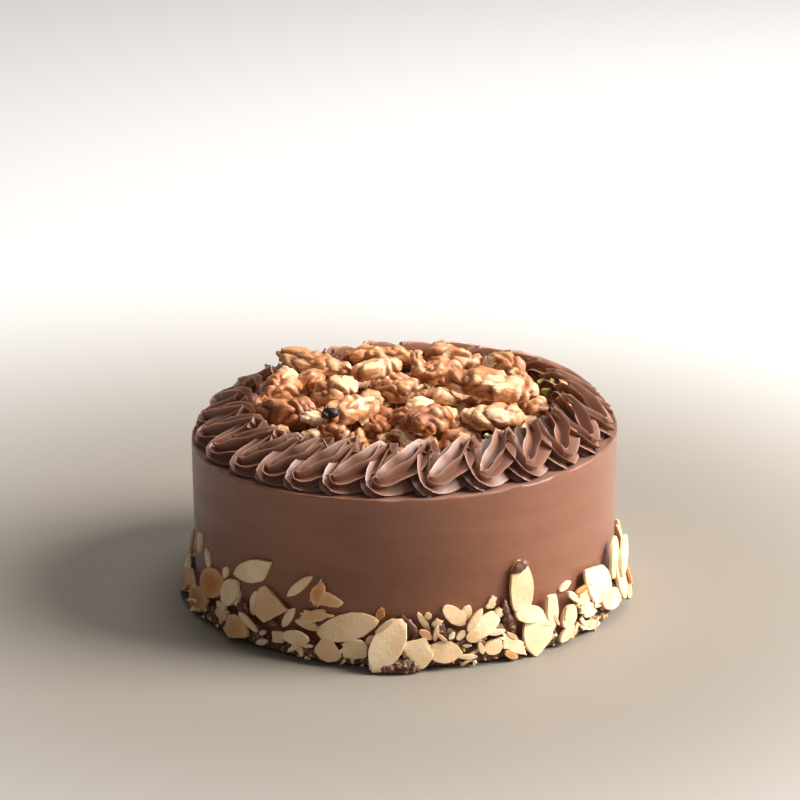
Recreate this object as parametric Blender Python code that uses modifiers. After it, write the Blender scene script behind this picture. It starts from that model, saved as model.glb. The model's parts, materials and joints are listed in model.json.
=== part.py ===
"""A small round chocolate cake: an iced body, a piped border of leaning star swirls, walnuts heaped
inside the border, and chopped and flaked almonds pressed round the foot. Metres, +Z up, the origin
on the table under the middle of the cake, the shown side towards -Y.
"""

import math
import random

import bmesh
import bpy
from mathutils import Matrix, Vector, noise

MM = 0.001

# The iced body
CAKE_RADIUS = 80 * MM
FOOT_RADIUS = 79.2 * MM
CAKE_HEIGHT = 63 * MM  # at the middle of the top
TOP_RISE_X = 0.027  # the top climbs this much for each metre towards +X
TOP_RISE_Y = -0.006
RIM_ROUND = 1.4 * MM
FOOT_ROUND = 0.8 * MM
BODY_STEPS = 60
GAP = 0.3 * MM  # between pieces that touch

# The piped border: each swirl is a star-shaped strand that climbs from the rim towards the middle
SWIRL_COUNT = 26
SWIRL_RING_RADIUS = 68 * MM  # to the middle of a swirl
SWIRL_FIRST_AZIMUTH = math.radians(2.7)
SWIRL_SHIFT = math.radians(0.25)  # how far a swirl may sit from its even place
SWIRL_LENGTH = 26 * MM
SWIRL_SKEW = math.radians(40)  # how far a swirl leans from the spoke of the circle
SWIRL_RADIUS = 6.2 * MM
SWIRL_SMALLEST = 0.96  # size of the smallest swirl beside the largest
SWIRL_TALL = 1.2  # height of the strand for its width
SWIRL_TAIL_HEIGHT = 1.5 * MM  # height of the strand's axis at the rim
SWIRL_HOOK_HEIGHT = 11 * MM  # and at its inner end
SWIRL_FINS = 6
SWIRL_FIN_DEPTH = 0.36  # depth of the grooves, as a share of the radius
SWIRL_TWIST = math.radians(150)
SWIRL_RINGS = 7
STRAND_SWELL = 0.32  # share of the length over which the tail swells
STRAND_SHOULDER = 0.45  # share of the length where the taper starts
STRAND_TIP = 0.35  # radius at the hook for the full radius

# The heap of walnut pieces
HEAP_RADIUS = 54 * MM
HEAP_HEIGHT = 7.5 * MM
HEAP_BUMP = 2.2 * MM
HEAP_BUMP_SPAN = 11 * MM
HEAP_SWELL_SPAN = 30 * MM
HEAP_SECTORS = 32
HEAP_RING_SHARES = (0.17, 0.34, 0.5, 0.65, 0.79, 0.91, 1.0)
HEAP_SHOULDER = 0.79  # share of the radius where the heap starts to fall
HEAP_EDGE_FALL = 0.45  # how much of its height it loses by the edge

# Walnut halves that lie on the heap: place in mm, length, width and thickness in mm, then the turn
# about the upright and the tip of the right end downwards in degrees
WALNUT_HALVES = (
    (-34, 34, 26, 14, 12, -20, 8),
    (-8, 47, 26, 11, 10, 4, 0),
    (19, 45, 19, 12, 10, -20, 0),
    (38, 29, 21, 13, 11, -52, 0),
    (-10, 27, 20, 14, 11, 14, -4),
    (13, 25, 19, 14, 11, 38, 0),
    (-46, 13, 17, 13, 11, 62, 4),
    (-25, 9, 19, 14, 11, 30, 0),
    (-1, 4, 19, 13, 11, -32, 3),
    (33, -2, 33, 22, 14, -22, 4),
    (-43, -13, 21, 14, 11, -18, 0),
    (-20, -19, 23, 14, 10, 20, -4),
    (9, -32, 20, 14, 11, 42, 0),
    (34, -30, 20, 13, 10, 12, 0),
)
HALF_SECTORS = 16
HALF_BANDS = 7
HALF_BLUNT = 0.82  # below 1 the ends are fuller than those of an egg
HALF_FURROW = 0.16  # depth of the furrow along the back
HALF_WRINKLE = 0.24
HALF_UNDERSIDE = 0.62  # thickness under the widest line for the thickness above it
HALF_CLEARANCE = 6 * MM  # a half rests on the highest bump this far round it

# The band of almonds round the foot
BAND_SECTORS = 72
BAND_FOOT_WIDTH = 5.2 * MM
BAND_TOP_WIDTH = 1.6 * MM
BAND_HEIGHT = 13 * MM
BAND_HEIGHT_CHANGE = 9 * MM  # of the slow rise and fall
BAND_WIDTH_CHANGE = 2.4 * MM
BAND_ROUGH_HEIGHT = 1.8 * MM  # from one flake to the next
BAND_ROUGH_WIDTH = 0.6 * MM

# A lump of cream pressed out under the almonds at the front
LUMP_SIZE = (15 * MM, 4.6 * MM, 4.8 * MM)
LUMP_AZIMUTH = math.radians(-1)
LUMP_ROUGH = 0.12
LUMP_BED_WIDTH = 2.6 * MM  # how far the band stands out behind the lump

COCOA_ICING = (0.24, 0.11, 0.065)
PIPED_CREAM = (0.27, 0.15, 0.11)
WALNUT = (0.50, 0.27, 0.12)
ALMOND = (0.74, 0.58, 0.38)


def clear_scene():
    for obj in list(bpy.data.objects):
        bpy.data.objects.remove(obj)


def new_collection(name):
    collection = bpy.data.collections.new(name)
    bpy.context.scene.collection.children.link(collection)
    return collection


def food_material(name, colour, roughness):
    material = bpy.data.materials.new(name)
    material.use_nodes = True
    shader = material.node_tree.nodes["Principled BSDF"]
    shader.inputs["Base Color"].default_value = (*colour, 1.0)
    shader.inputs["Roughness"].default_value = roughness
    shader.inputs["Metallic"].default_value = 0.0
    return material


def add_piece(name, mesh, collection, material, matrix=None):
    """An object that holds the mesh, placed by the matrix and shaded smooth up to 35 degrees."""
    piece = bpy.data.objects.new(name, mesh)
    mesh.materials.append(material)
    mesh.shade_smooth()
    mesh.set_sharp_from_angle(angle=math.radians(35))
    if matrix is not None:
        piece.matrix_world = matrix
    collection.objects.link(piece)
    return piece


def mesh_of(bm, name):
    """The closed mesh of a bmesh, as triangles that face outwards."""
    bmesh.ops.triangulate(bm, faces=bm.faces)
    bmesh.ops.recalc_face_normals(bm, faces=bm.faces)
    mesh = bpy.data.meshes.new(name)
    bm.to_mesh(mesh)
    bm.free()
    return mesh


def cut_flat(bm, height):
    """Cuts away all below a level plane and closes the cut."""
    everything = bm.verts[:] + bm.edges[:] + bm.faces[:]
    plane = {"plane_co": (0, 0, height), "plane_no": (0, 0, 1)}
    bmesh.ops.bisect_plane(bm, geom=everything, dist=1e-7, clear_inner=True, **plane)
    bmesh.ops.holes_fill(bm, edges=[edge for edge in bm.edges if edge.is_boundary], sides=0)


def lofted(rings, first, last):
    """A closed body through rings of points, closed at both ends by a single point."""
    bm = bmesh.new()
    rows = [[bm.verts.new(point) for point in ring] for ring in rings]
    tail, tip = bm.verts.new(first), bm.verts.new(last)
    count = len(rows[0])
    for i in range(count):
        j = (i + 1) % count
        bm.faces.new((tail, rows[0][j], rows[0][i]))
        bm.faces.new((rows[-1][i], rows[-1][j], tip))
        for low, high in zip(rows, rows[1:]):
            bm.faces.new((low[i], low[j], high[j], high[i]))
    return bm


def top_height(x, y):
    """Height of the cake's top, which isn't quite level."""
    return CAKE_HEIGHT + TOP_RISE_X * x + TOP_RISE_Y * y


def side_radius(z):
    """Radius of the cake's side, which widens a little towards the rim."""
    return FOOT_RADIUS + (CAKE_RADIUS - FOOT_RADIUS) * z / CAKE_HEIGHT


def on_top(azimuth, radius):
    """A frame on the cake's top: +X outwards, +Y along the rim, +Z off the surface."""
    x, y = radius * math.sin(azimuth), -radius * math.cos(azimuth)
    level = Matrix.Rotation(azimuth - math.pi / 2, 4, "Z")
    tilt = Vector((0, 0, 1)).rotation_difference(Vector((-TOP_RISE_X, -TOP_RISE_Y, 1)))
    return Matrix.Translation((x, y, top_height(x, y))) @ tilt.to_matrix().to_4x4() @ level


# ---- the iced body


def body_profile():
    """Half the outline, from the middle of the top, down the side, to the middle of the base."""
    points = [(0.0, CAKE_HEIGHT)]
    for step in range(4):
        angle = math.radians(90 - 30 * step)
        inwards, down = RIM_ROUND * (1 - math.cos(angle)), RIM_ROUND * (1 - math.sin(angle))
        points.append((CAKE_RADIUS - inwards, CAKE_HEIGHT - down))
    for step in range(3):
        angle = math.radians(-45 * step)
        inwards, up = FOOT_ROUND * (1 - math.cos(angle)), FOOT_ROUND * (1 + math.sin(angle))
        points.append((FOOT_RADIUS - inwards, up))
    points.append((0.0, 0.0))
    return points


def make_body(collection, material):
    """The profile turned round the axis, then leant so that the top climbs to one side."""
    points = body_profile()
    edges = [(i, i + 1) for i in range(len(points) - 1)]
    profile = bpy.data.meshes.new("cake_profile")
    profile.from_pydata([(x, 0, z) for x, z in points], edges, [])
    turned = bpy.data.objects.new("cake_profile", profile)
    bpy.context.scene.collection.objects.link(turned)
    screw = turned.modifiers.new("turn", "SCREW")
    screw.steps = screw.render_steps = BODY_STEPS
    screw.use_merge_vertices = True
    screw.merge_threshold = 0.00001
    graph = bpy.context.evaluated_depsgraph_get()
    mesh = bpy.data.meshes.new_from_object(turned.evaluated_get(graph))
    bpy.data.objects.remove(turned)
    for vertex in mesh.vertices:
        x, y, z = vertex.co
        vertex.co.z = z * top_height(x, y) / CAKE_HEIGHT
    mesh.name = "cake_body"
    return add_piece("cake_body", mesh, collection, material)


# ---- the piped border


def strand_radius(along):
    """Radius of the piped strand: a quick swell at the tail, then a slow taper to the hook."""
    swell = min(1.0, (along / STRAND_SWELL) ** 0.55)
    taper = 1.0 - max(0.0, (along - STRAND_SHOULDER) / (1.0 - STRAND_SHOULDER)) ** 2.6
    return SWIRL_RADIUS * swell * (STRAND_TIP + (1.0 - STRAND_TIP) * taper)


def swirl_mesh(name, size, twist_start):
    """One leaning swirl in its own frame: a twisted star loft cut flat where it sits on the cake."""
    reach = SWIRL_LENGTH / 2
    outwards, along_rim = reach * math.cos(SWIRL_SKEW), reach * math.sin(SWIRL_SKEW)
    start = Vector((outwards, -along_rim, SWIRL_TAIL_HEIGHT))
    end = Vector((-outwards, along_rim, SWIRL_HOOK_HEIGHT * size))
    forward = (end - start).normalized()
    side = forward.cross(Vector((0, 0, 1))).normalized()
    above = side.cross(forward) * SWIRL_TALL
    rings = []
    for k in range(1, SWIRL_RINGS + 1):
        along = k / (SWIRL_RINGS + 1)
        centre = start.lerp(end, along)
        radius = strand_radius(along) * size
        ring = []
        for j in range(2 * SWIRL_FINS):
            angle = math.pi * j / SWIRL_FINS + twist_start + SWIRL_TWIST * along
            reach_out = radius if j % 2 == 0 else radius * (1.0 - SWIRL_FIN_DEPTH)
            ring.append(centre + (side * math.cos(angle) + above * math.sin(angle)) * reach_out)
        rings.append(ring)
    bm = lofted(rings, start, end)
    cut_flat(bm, GAP)
    return mesh_of(bm, name)


def make_border(collection, material):
    """Swirls round the rim, each a little different in size and twist."""
    chance = random.Random(26)
    for k in range(SWIRL_COUNT):
        shift = chance.uniform(-SWIRL_SHIFT, SWIRL_SHIFT)
        azimuth = SWIRL_FIRST_AZIMUTH + math.tau * k / SWIRL_COUNT + shift
        name = f"swirl_{k + 1:02d}"
        size = chance.uniform(SWIRL_SMALLEST, 1.0)
        mesh = swirl_mesh(name, size, chance.uniform(0, math.tau / SWIRL_FINS))
        add_piece(name, mesh, collection, material, on_top(azimuth, SWIRL_RING_RADIUS))


# ---- the walnuts


def heap_height(x, y):
    """Height of the heap's lumpy surface above the cake's top, at a place in metres."""
    bump = noise.noise(Vector((x / HEAP_BUMP_SPAN, y / HEAP_BUMP_SPAN, 3.7)))
    swell = noise.noise(Vector((x / HEAP_SWELL_SPAN, y / HEAP_SWELL_SPAN, 8.1)))
    return HEAP_HEIGHT + HEAP_BUMP * (bump + 0.8 * swell)


def heap_outline(angle):
    """Radius of the heap's uneven edge."""
    wave = 1.3 * math.sin(3 * angle + 0.6) + math.sin(7 * angle + 2.0)
    return HEAP_RADIUS + wave * MM


def heap_points():
    """The heap's rings of points above the cake's top, from the innermost to the edge."""
    rings = []
    for share in HEAP_RING_SHARES:
        over_shoulder = max(0.0, (share - HEAP_SHOULDER) / (1.0 - HEAP_SHOULDER))
        ring = []
        for i in range(HEAP_SECTORS):
            angle = math.tau * i / HEAP_SECTORS
            radius = share * heap_outline(angle)
            x, y = radius * math.cos(angle), radius * math.sin(angle)
            ring.append(Vector((x, y, heap_height(x, y) * (1.0 - HEAP_EDGE_FALL * over_shoulder))))
        rings.append(ring)
    return rings


def make_heap(collection, material):
    rings = heap_points()
    foot = [Vector((p.x, p.y, GAP)) for p in rings[-1]]
    peak, floor = Vector((0, 0, heap_height(0, 0))), Vector((0, 0, GAP))
    mesh = mesh_of(lofted(rings + [foot], peak, floor), "walnut_heap")
    add_piece("walnut_heap", mesh, collection, material, on_top(math.pi / 2, 0))
    return [p for ring in rings for p in ring]


def half_mesh(name, length, width, thickness, seed):
    """A walnut half: a blunt egg, furrowed along its back, wrinkled, and flatter underneath."""
    bm = bmesh.new()
    bmesh.ops.create_uvsphere(bm, u_segments=HALF_SECTORS, v_segments=HALF_BANDS, radius=1.0)
    for vertex in bm.verts:
        d = vertex.co.copy()
        furrow = HALF_FURROW * math.exp(-((d.y / 0.22) ** 2)) if d.z > -0.2 else 0.0
        wrinkle = HALF_WRINKLE * noise.noise(d * 2.4 + Vector((seed * 3.1, 0, 0)))
        size = 1.0 - furrow + wrinkle
        x = math.copysign(abs(d.x) ** HALF_BLUNT, d.x)
        z = d.z * (HALF_UNDERSIDE if d.z < 0 else 1.0)
        vertex.co = (x * length / 2 * size, d.y * width / 2 * size, z * thickness / 2 * size)
    return mesh_of(bm, name)


def make_halves(collection, material, heap):
    """The larger halves, each resting on the highest bump of the heap under it."""
    base = on_top(math.pi / 2, 0)
    for k, (x, y, length, width, thickness, turn, tip) in enumerate(WALNUT_HALVES):
        name = f"walnut_{k + 1:02d}"
        mesh = half_mesh(name, length * MM, width * MM, thickness * MM, k)
        turned = Matrix.Rotation(math.radians(turn), 4, "Z") @ Matrix.Rotation(math.radians(tip), 4, "Y")
        lowest = min((turned @ v.co).z for v in mesh.vertices)
        near = length / 2 * MM + HALF_CLEARANCE
        highest = max(p.z for p in heap if math.hypot(p.x - x * MM, p.y - y * MM) < near)
        place = Matrix.Translation((x * MM, y * MM, highest + 2 * GAP - lowest))
        add_piece(name, mesh, collection, material, base @ place @ turned)


# ---- the almonds round the foot


def arc_from_lump(azimuth):
    """Distance along the foot from the middle of the lump of cream."""
    return abs(math.remainder(azimuth - LUMP_AZIMUTH, math.tau)) * FOOT_RADIUS


def band_section(azimuth, chance):
    """The five-sided section of the band there, as radii and heights."""
    slow = noise.noise(Vector((3.2 * math.cos(azimuth), 3.2 * math.sin(azimuth), 1.3)))
    broad = noise.noise(Vector((5.5 * math.cos(azimuth), 5.5 * math.sin(azimuth), 6.9)))
    high = BAND_HEIGHT + BAND_HEIGHT_CHANGE * slow + chance.uniform(-1, 1) * BAND_ROUGH_HEIGHT
    wide = BAND_FOOT_WIDTH + BAND_WIDTH_CHANGE * broad + chance.uniform(-1, 1) * BAND_ROUGH_WIDTH
    if arc_from_lump(azimuth) < LUMP_SIZE[0] / 2 + 2 * MM:
        wide = LUMP_BED_WIDTH
    shoulder = max(BAND_TOP_WIDTH, wide * 0.8)
    clear = GAP + 0.1 * MM
    foot, crest = side_radius(0.0) + clear, side_radius(high) + clear
    return (
        (foot, 0.0),
        (crest, high),
        (crest + BAND_TOP_WIDTH, high * 0.94),
        (foot + shoulder, high * 0.45),
        (foot + wide, 0.0),
    )


def make_band(collection, material):
    """A closed ring of sections, its height and width changing on the way round."""
    chance = random.Random(5)
    bm = bmesh.new()
    sections = []
    for i in range(BAND_SECTORS):
        azimuth = math.tau * i / BAND_SECTORS
        outline = band_section(azimuth, chance)
        out = (math.sin(azimuth), -math.cos(azimuth))
        sections.append([bm.verts.new((r * out[0], r * out[1], z)) for r, z in outline])
    for i, section in enumerate(sections):
        following = sections[(i + 1) % BAND_SECTORS]
        for j in range(len(section)):
            k = (j + 1) % len(section)
            bm.faces.new((section[j], section[k], following[k], following[j]))
    add_piece("almond_band", mesh_of(bm, "almond_band"), collection, material)


def make_lump(collection, material):
    """The pressed-out cream: a low rough mound with a flat base."""
    bm = bmesh.new()
    bmesh.ops.create_uvsphere(bm, u_segments=HALF_SECTORS, v_segments=HALF_BANDS, radius=1.0)
    for vertex in bm.verts:
        d = vertex.co.copy()
        rough = 1.0 + LUMP_ROUGH * noise.noise(d * 2.7)
        across, deep = d.x * LUMP_SIZE[0] / 2 * rough, d.y * LUMP_SIZE[1] / 2 * rough
        bend = across**2 / (2 * CAKE_RADIUS)  # the lump follows the round of the cake
        vertex.co = (across, deep + bend, d.z * LUMP_SIZE[2] * rough)
    cut_flat(bm, 0.0)
    reach = FOOT_RADIUS + LUMP_BED_WIDTH + 3 * GAP + LUMP_SIZE[1] / 2
    place = Matrix.Translation((reach * math.sin(LUMP_AZIMUTH), -reach * math.cos(LUMP_AZIMUTH), 0))
    turn = Matrix.Rotation(LUMP_AZIMUTH, 4, "Z")
    add_piece("cream_lump", mesh_of(bm, "cream_lump"), collection, material, place @ turn)


def main():
    clear_scene()
    cake = new_collection("chocolate_cake")
    icing = food_material("cocoa_icing", COCOA_ICING, 0.5)
    cream = food_material("piped_cream", PIPED_CREAM, 0.45)
    walnut = food_material("walnut", WALNUT, 0.5)
    almond = food_material("almond", ALMOND, 0.55)
    make_body(cake, icing)
    make_border(cake, cream)
    heap = make_heap(cake, walnut)
    make_halves(cake, walnut, heap)
    make_band(cake, almond)
    make_lump(cake, cream)


main()
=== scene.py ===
# %% [markdown]
# # A chocolate cake with a piped border, walnuts and almonds
#
# The cake is a round iced body. A star nozzle has piped one long strand of cream round its rim, in
# loops. Walnuts are heaped inside the border, and flaked and chopped almonds are pressed round the
# foot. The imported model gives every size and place, so it's loaded first and never changed. Each
# piece below stands for one of its solids, or adds what is too small to be one.

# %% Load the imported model
import json
import math
import random

import bmesh
import bpy
import numpy as np
from mathutils import Matrix, Vector, noise

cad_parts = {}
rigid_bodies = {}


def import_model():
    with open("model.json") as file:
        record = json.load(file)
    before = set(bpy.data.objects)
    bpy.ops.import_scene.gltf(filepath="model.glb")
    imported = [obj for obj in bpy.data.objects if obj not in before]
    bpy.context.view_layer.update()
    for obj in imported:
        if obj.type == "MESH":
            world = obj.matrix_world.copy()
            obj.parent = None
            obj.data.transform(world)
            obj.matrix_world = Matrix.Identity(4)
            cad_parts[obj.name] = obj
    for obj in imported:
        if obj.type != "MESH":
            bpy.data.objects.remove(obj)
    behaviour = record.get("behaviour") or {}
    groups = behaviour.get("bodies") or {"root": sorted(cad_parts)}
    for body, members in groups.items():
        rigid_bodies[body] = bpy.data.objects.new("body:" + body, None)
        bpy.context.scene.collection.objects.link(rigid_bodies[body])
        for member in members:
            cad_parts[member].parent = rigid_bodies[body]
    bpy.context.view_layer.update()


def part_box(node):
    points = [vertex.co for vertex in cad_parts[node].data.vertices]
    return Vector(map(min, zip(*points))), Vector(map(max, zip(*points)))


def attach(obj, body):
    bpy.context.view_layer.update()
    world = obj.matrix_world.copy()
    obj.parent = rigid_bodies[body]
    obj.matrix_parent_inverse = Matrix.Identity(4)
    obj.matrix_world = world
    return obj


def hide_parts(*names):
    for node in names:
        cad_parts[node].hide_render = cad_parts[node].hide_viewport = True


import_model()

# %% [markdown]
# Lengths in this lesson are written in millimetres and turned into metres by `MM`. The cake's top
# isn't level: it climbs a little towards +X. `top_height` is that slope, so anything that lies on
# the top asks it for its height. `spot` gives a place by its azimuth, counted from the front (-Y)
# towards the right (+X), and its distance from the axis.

MM = 0.001
CAKE_RADIUS = 80.0
FOOT_RADIUS = 79.2
CAKE_HEIGHT = 63.0
SLOPE_X, SLOPE_Y = 0.027, -0.006  # how much the top climbs for each millimetre towards +X and +Y
NOISE_SEED = 3
noise.seed_set(NOISE_SEED)  # without it, vector noise differs from run to run


def top_height(x, y):
    return CAKE_HEIGHT + SLOPE_X * x + SLOPE_Y * y


def spot(azimuth, radius, z):
    angle = math.radians(azimuth)
    return Vector((radius * math.sin(angle), -radius * math.cos(angle), z))


low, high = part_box("cake_body")
print(f"the body measures {(high[0] - low[0]) / MM:.1f} mm across and {(high[2] - low[2]) / MM:.1f} mm high")

# %% [markdown]
# The camera stands in front of the cake and looks down by a little more than 18 degrees, through a
# long lens, so the far side of the rim looks nearly as wide as the near side. A long lens far away
# keeps the round shape calm, as product pictures do.

# %% Camera
LENS = 148.5
DOWN = math.radians(18.56)
TARGET = Vector((-1.6, 0.0, 74.2)) * MM
AWAY = 1.237

sight = Vector((0.0, math.cos(DOWN), -math.sin(DOWN)))
camera = bpy.data.objects.new("camera", bpy.data.cameras.new("camera"))
camera.data.lens = LENS
camera.data.sensor_width = 36.0
camera.location = TARGET - sight * AWAY
camera.rotation_euler = sight.to_track_quat("-Z", "Y").to_euler()
bpy.context.scene.collection.objects.link(camera)
bpy.context.scene.camera = camera
print("camera at", [round(c, 3) for c in camera.location])

# %% [markdown]
# Food looks best in light from one side: it rakes over the ridges of the cream and leaves a soft
# shade on the other. One large soft lamp stands at the right, like a window. A faint one fills the
# front, and a third hangs high behind the cake. The room itself is pale. What the camera sees of it
# is brighter than the light it gives, so that the shade side stays deep. The floor grows paler away
# from the cake, and there it glows a little: painted light, like a backdrop with a lamp of its own.

# %% Light and floor
def soft_lamp(name, azimuth, elevation, distance, size, power, colour):
    up = math.radians(elevation)
    place = spot(azimuth, distance * math.cos(up), 0.0)
    place.z = distance * math.sin(up)
    lamp = bpy.data.lights.new(name, "AREA")
    lamp.shape = "DISK"
    lamp.size = size
    lamp.energy = power
    lamp.color = colour
    holder = bpy.data.objects.new(name, lamp)
    holder.location = place
    holder.rotation_euler = (Vector((0, 0, 0.05)) - place).to_track_quat("-Z", "Y").to_euler()
    bpy.context.scene.collection.objects.link(holder)


soft_lamp("window", 86, 38, 1.5, 0.9, 55.0, (1.0, 0.955, 0.90))
soft_lamp("fill", 5, 34, 1.8, 1.2, 2.2, (1.0, 0.96, 0.91))
soft_lamp("ceiling", 150, 74, 1.6, 1.0, 13.0, (1.0, 0.97, 0.93))

room = bpy.data.worlds.new("room")
room.use_nodes = True
tree = room.node_tree
tree.nodes.clear()
seen = tree.nodes.new("ShaderNodeBackground")
seen.inputs["Color"].default_value = (0.87, 0.86, 0.83, 1.0)
given = tree.nodes.new("ShaderNodeBackground")
given.inputs["Color"].default_value = (0.97, 0.97, 1.0, 1.0)
given.inputs["Strength"].default_value = 0.08
path = tree.nodes.new("ShaderNodeLightPath")
either = tree.nodes.new("ShaderNodeMixShader")
out = tree.nodes.new("ShaderNodeOutputWorld")
tree.links.new(path.outputs["Is Camera Ray"], either.inputs[0])
tree.links.new(given.outputs[0], either.inputs[1])
tree.links.new(seen.outputs[0], either.inputs[2])
tree.links.new(either.outputs[0], out.inputs["Surface"])
bpy.context.scene.world = room
bpy.context.scene.view_settings.view_transform = "Standard"

bpy.ops.mesh.primitive_circle_add(vertices=96, radius=12.0, fill_type="NGON")
floor = bpy.context.object
floor.name = "floor"
paint = bpy.data.materials.new("pale_floor")
paint.use_nodes = True
floor_shader = paint.node_tree.nodes["Principled BSDF"]
floor_place = paint.node_tree.nodes.new("ShaderNodeTexCoord")
away = paint.node_tree.nodes.new("ShaderNodeVectorMath")
away.operation = "LENGTH"
paler = paint.node_tree.nodes.new("ShaderNodeMapRange")
paler.inputs["From Min"].default_value = 0.12
paler.inputs["From Max"].default_value = 0.5
paler.interpolation_type = "SMOOTHSTEP"
ground = paint.node_tree.nodes.new("ShaderNodeMix")
ground.data_type = "RGBA"
ground.inputs[6].default_value = (0.27, 0.24, 0.205, 1.0)
ground.inputs[7].default_value = (0.74, 0.74, 0.74, 1.0)
paint.node_tree.links.new(floor_place.outputs["Object"], away.inputs[0])
paint.node_tree.links.new(away.outputs["Value"], paler.inputs["Value"])
paint.node_tree.links.new(paler.outputs["Result"], ground.inputs[0])
paint.node_tree.links.new(ground.outputs[2], floor_shader.inputs["Base Color"])
floor_shader.inputs["Roughness"].default_value = 0.6
floor_shader.inputs["Emission Color"].default_value = (1.0, 0.985, 0.965, 1.0)
# Painted light: the far floor emits a little light of its own, though it is no lamp.
painted_glow = paint.node_tree.nodes.new("ShaderNodeMath")
painted_glow.operation = "MULTIPLY"
painted_glow.inputs[1].default_value = 0.1
paint.node_tree.links.new(paler.outputs["Result"], painted_glow.inputs[0])
paint.node_tree.links.new(painted_glow.outputs[0], floor_shader.inputs["Emission Strength"])
floor.data.materials.append(paint)
print("lamps and floor are set")

# %% [markdown]
# Materials are networks of shader nodes. Three effects are used by many of them, so each is a node
# group with named inputs: `patches` gives a soft uneven mask, as food is never one colour;
# `fine_relief` roughens the surface a little; `pinholes` scatters the tiny pinholes that air bubbles
# leave, which the icing and the cream paint near-black as painted shade. They read Object
# coordinates, which are the real place on the cake in metres.

# %% Shader groups
def group_with(name, inputs, outputs):
    """A shader group with sockets of the given names and kinds."""
    group = bpy.data.node_groups.new(name, "ShaderNodeTree")
    for label, kind, value in inputs:
        socket = group.interface.new_socket(label, in_out="INPUT", socket_type=kind)
        if value is not None:
            socket.default_value = value
    for label, kind in outputs:
        group.interface.new_socket(label, in_out="OUTPUT", socket_type=kind)
    return group, group.nodes.new("NodeGroupInput"), group.nodes.new("NodeGroupOutput")


def join(tree, source, target):
    tree.links.new(source, target)


def number(tree, operation, first, second=None, third=None, clamp=False):
    """A Math node, its inputs numbers or sockets."""
    node = tree.nodes.new("ShaderNodeMath")
    node.operation = operation
    node.use_clamp = clamp
    for socket, value in zip(node.inputs, (first, second, third)):
        if isinstance(value, bpy.types.NodeSocket):
            tree.links.new(value, socket)
        elif value is not None:
            socket.default_value = value
    return node.outputs[0]


FLOAT, VECTOR, COLOUR = "NodeSocketFloat", "NodeSocketVector", "NodeSocketColor"

patches, entry, exit_ = group_with(
    "patches",
    [("Vector", VECTOR, None), ("Stretch", VECTOR, (1, 1, 1)), ("Scale", FLOAT, 100.0), ("Low", FLOAT, 0.4),
     ("High", FLOAT, 0.6), ("Detail", FLOAT, 3.0)],
    [("Mask", FLOAT)],
)
stretch = patches.nodes.new("ShaderNodeVectorMath")
stretch.operation = "MULTIPLY"
cloud = patches.nodes.new("ShaderNodeTexNoise")
spread = patches.nodes.new("ShaderNodeMapRange")
spread.interpolation_type = "SMOOTHSTEP"
join(patches, entry.outputs["Vector"], stretch.inputs[0])
join(patches, entry.outputs["Stretch"], stretch.inputs[1])
join(patches, stretch.outputs[0], cloud.inputs["Vector"])
join(patches, entry.outputs["Scale"], cloud.inputs["Scale"])
join(patches, entry.outputs["Detail"], cloud.inputs["Detail"])
join(patches, cloud.outputs[0], spread.inputs["Value"])
join(patches, entry.outputs["Low"], spread.inputs["From Min"])
join(patches, entry.outputs["High"], spread.inputs["From Max"])
join(patches, spread.outputs["Result"], exit_.inputs["Mask"])

fine_relief, entry, exit_ = group_with(
    "fine_relief",
    [("Vector", VECTOR, None), ("Stretch", VECTOR, (1, 1, 1)), ("Scale", FLOAT, 900.0), ("Depth", FLOAT, 0.0001),
     ("Holes", FLOAT, 0.0)],
    [("Normal", VECTOR)],
)
stretch = fine_relief.nodes.new("ShaderNodeVectorMath")
stretch.operation = "MULTIPLY"
cloud = fine_relief.nodes.new("ShaderNodeTexNoise")
cloud.inputs["Detail"].default_value = 4.0
bump = fine_relief.nodes.new("ShaderNodeBump")
join(fine_relief, entry.outputs["Vector"], stretch.inputs[0])
join(fine_relief, entry.outputs["Stretch"], stretch.inputs[1])
join(fine_relief, stretch.outputs[0], cloud.inputs["Vector"])
join(fine_relief, entry.outputs["Scale"], cloud.inputs["Scale"])
join(fine_relief, number(fine_relief, "SUBTRACT", cloud.outputs[0], entry.outputs["Holes"]), bump.inputs["Height"])
join(fine_relief, entry.outputs["Depth"], bump.inputs["Distance"])
join(fine_relief, bump.outputs[0], exit_.inputs["Normal"])

pinholes, entry, exit_ = group_with(
    "pinholes",
    [("Vector", VECTOR, None), ("Scale", FLOAT, 300.0), ("Size", FLOAT, 0.12), ("Share", FLOAT, 0.2)],
    [("Mask", FLOAT)],
)
cells = pinholes.nodes.new("ShaderNodeTexVoronoi")
join(pinholes, entry.outputs["Vector"], cells.inputs["Vector"])
join(pinholes, entry.outputs["Scale"], cells.inputs["Scale"])
inside = number(pinholes, "LESS_THAN", cells.outputs["Distance"], entry.outputs["Size"])
hue = pinholes.nodes.new("ShaderNodeSeparateColor")
join(pinholes, cells.outputs["Color"], hue.inputs[0])
chosen = number(pinholes, "LESS_THAN", hue.outputs[0], entry.outputs["Share"])
join(pinholes, number(pinholes, "MULTIPLY", inside, chosen), exit_.inputs["Mask"])
print("groups:", [group.name for group in (patches, fine_relief, pinholes)])

# %% [markdown]
# The recipes below use the groups in the same few ways, so short helpers place a group, blend two
# colours by a mask and read a mask stored on a mesh. Numbers that are the same all over a surface
# are set on the Principled shader itself.

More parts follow.
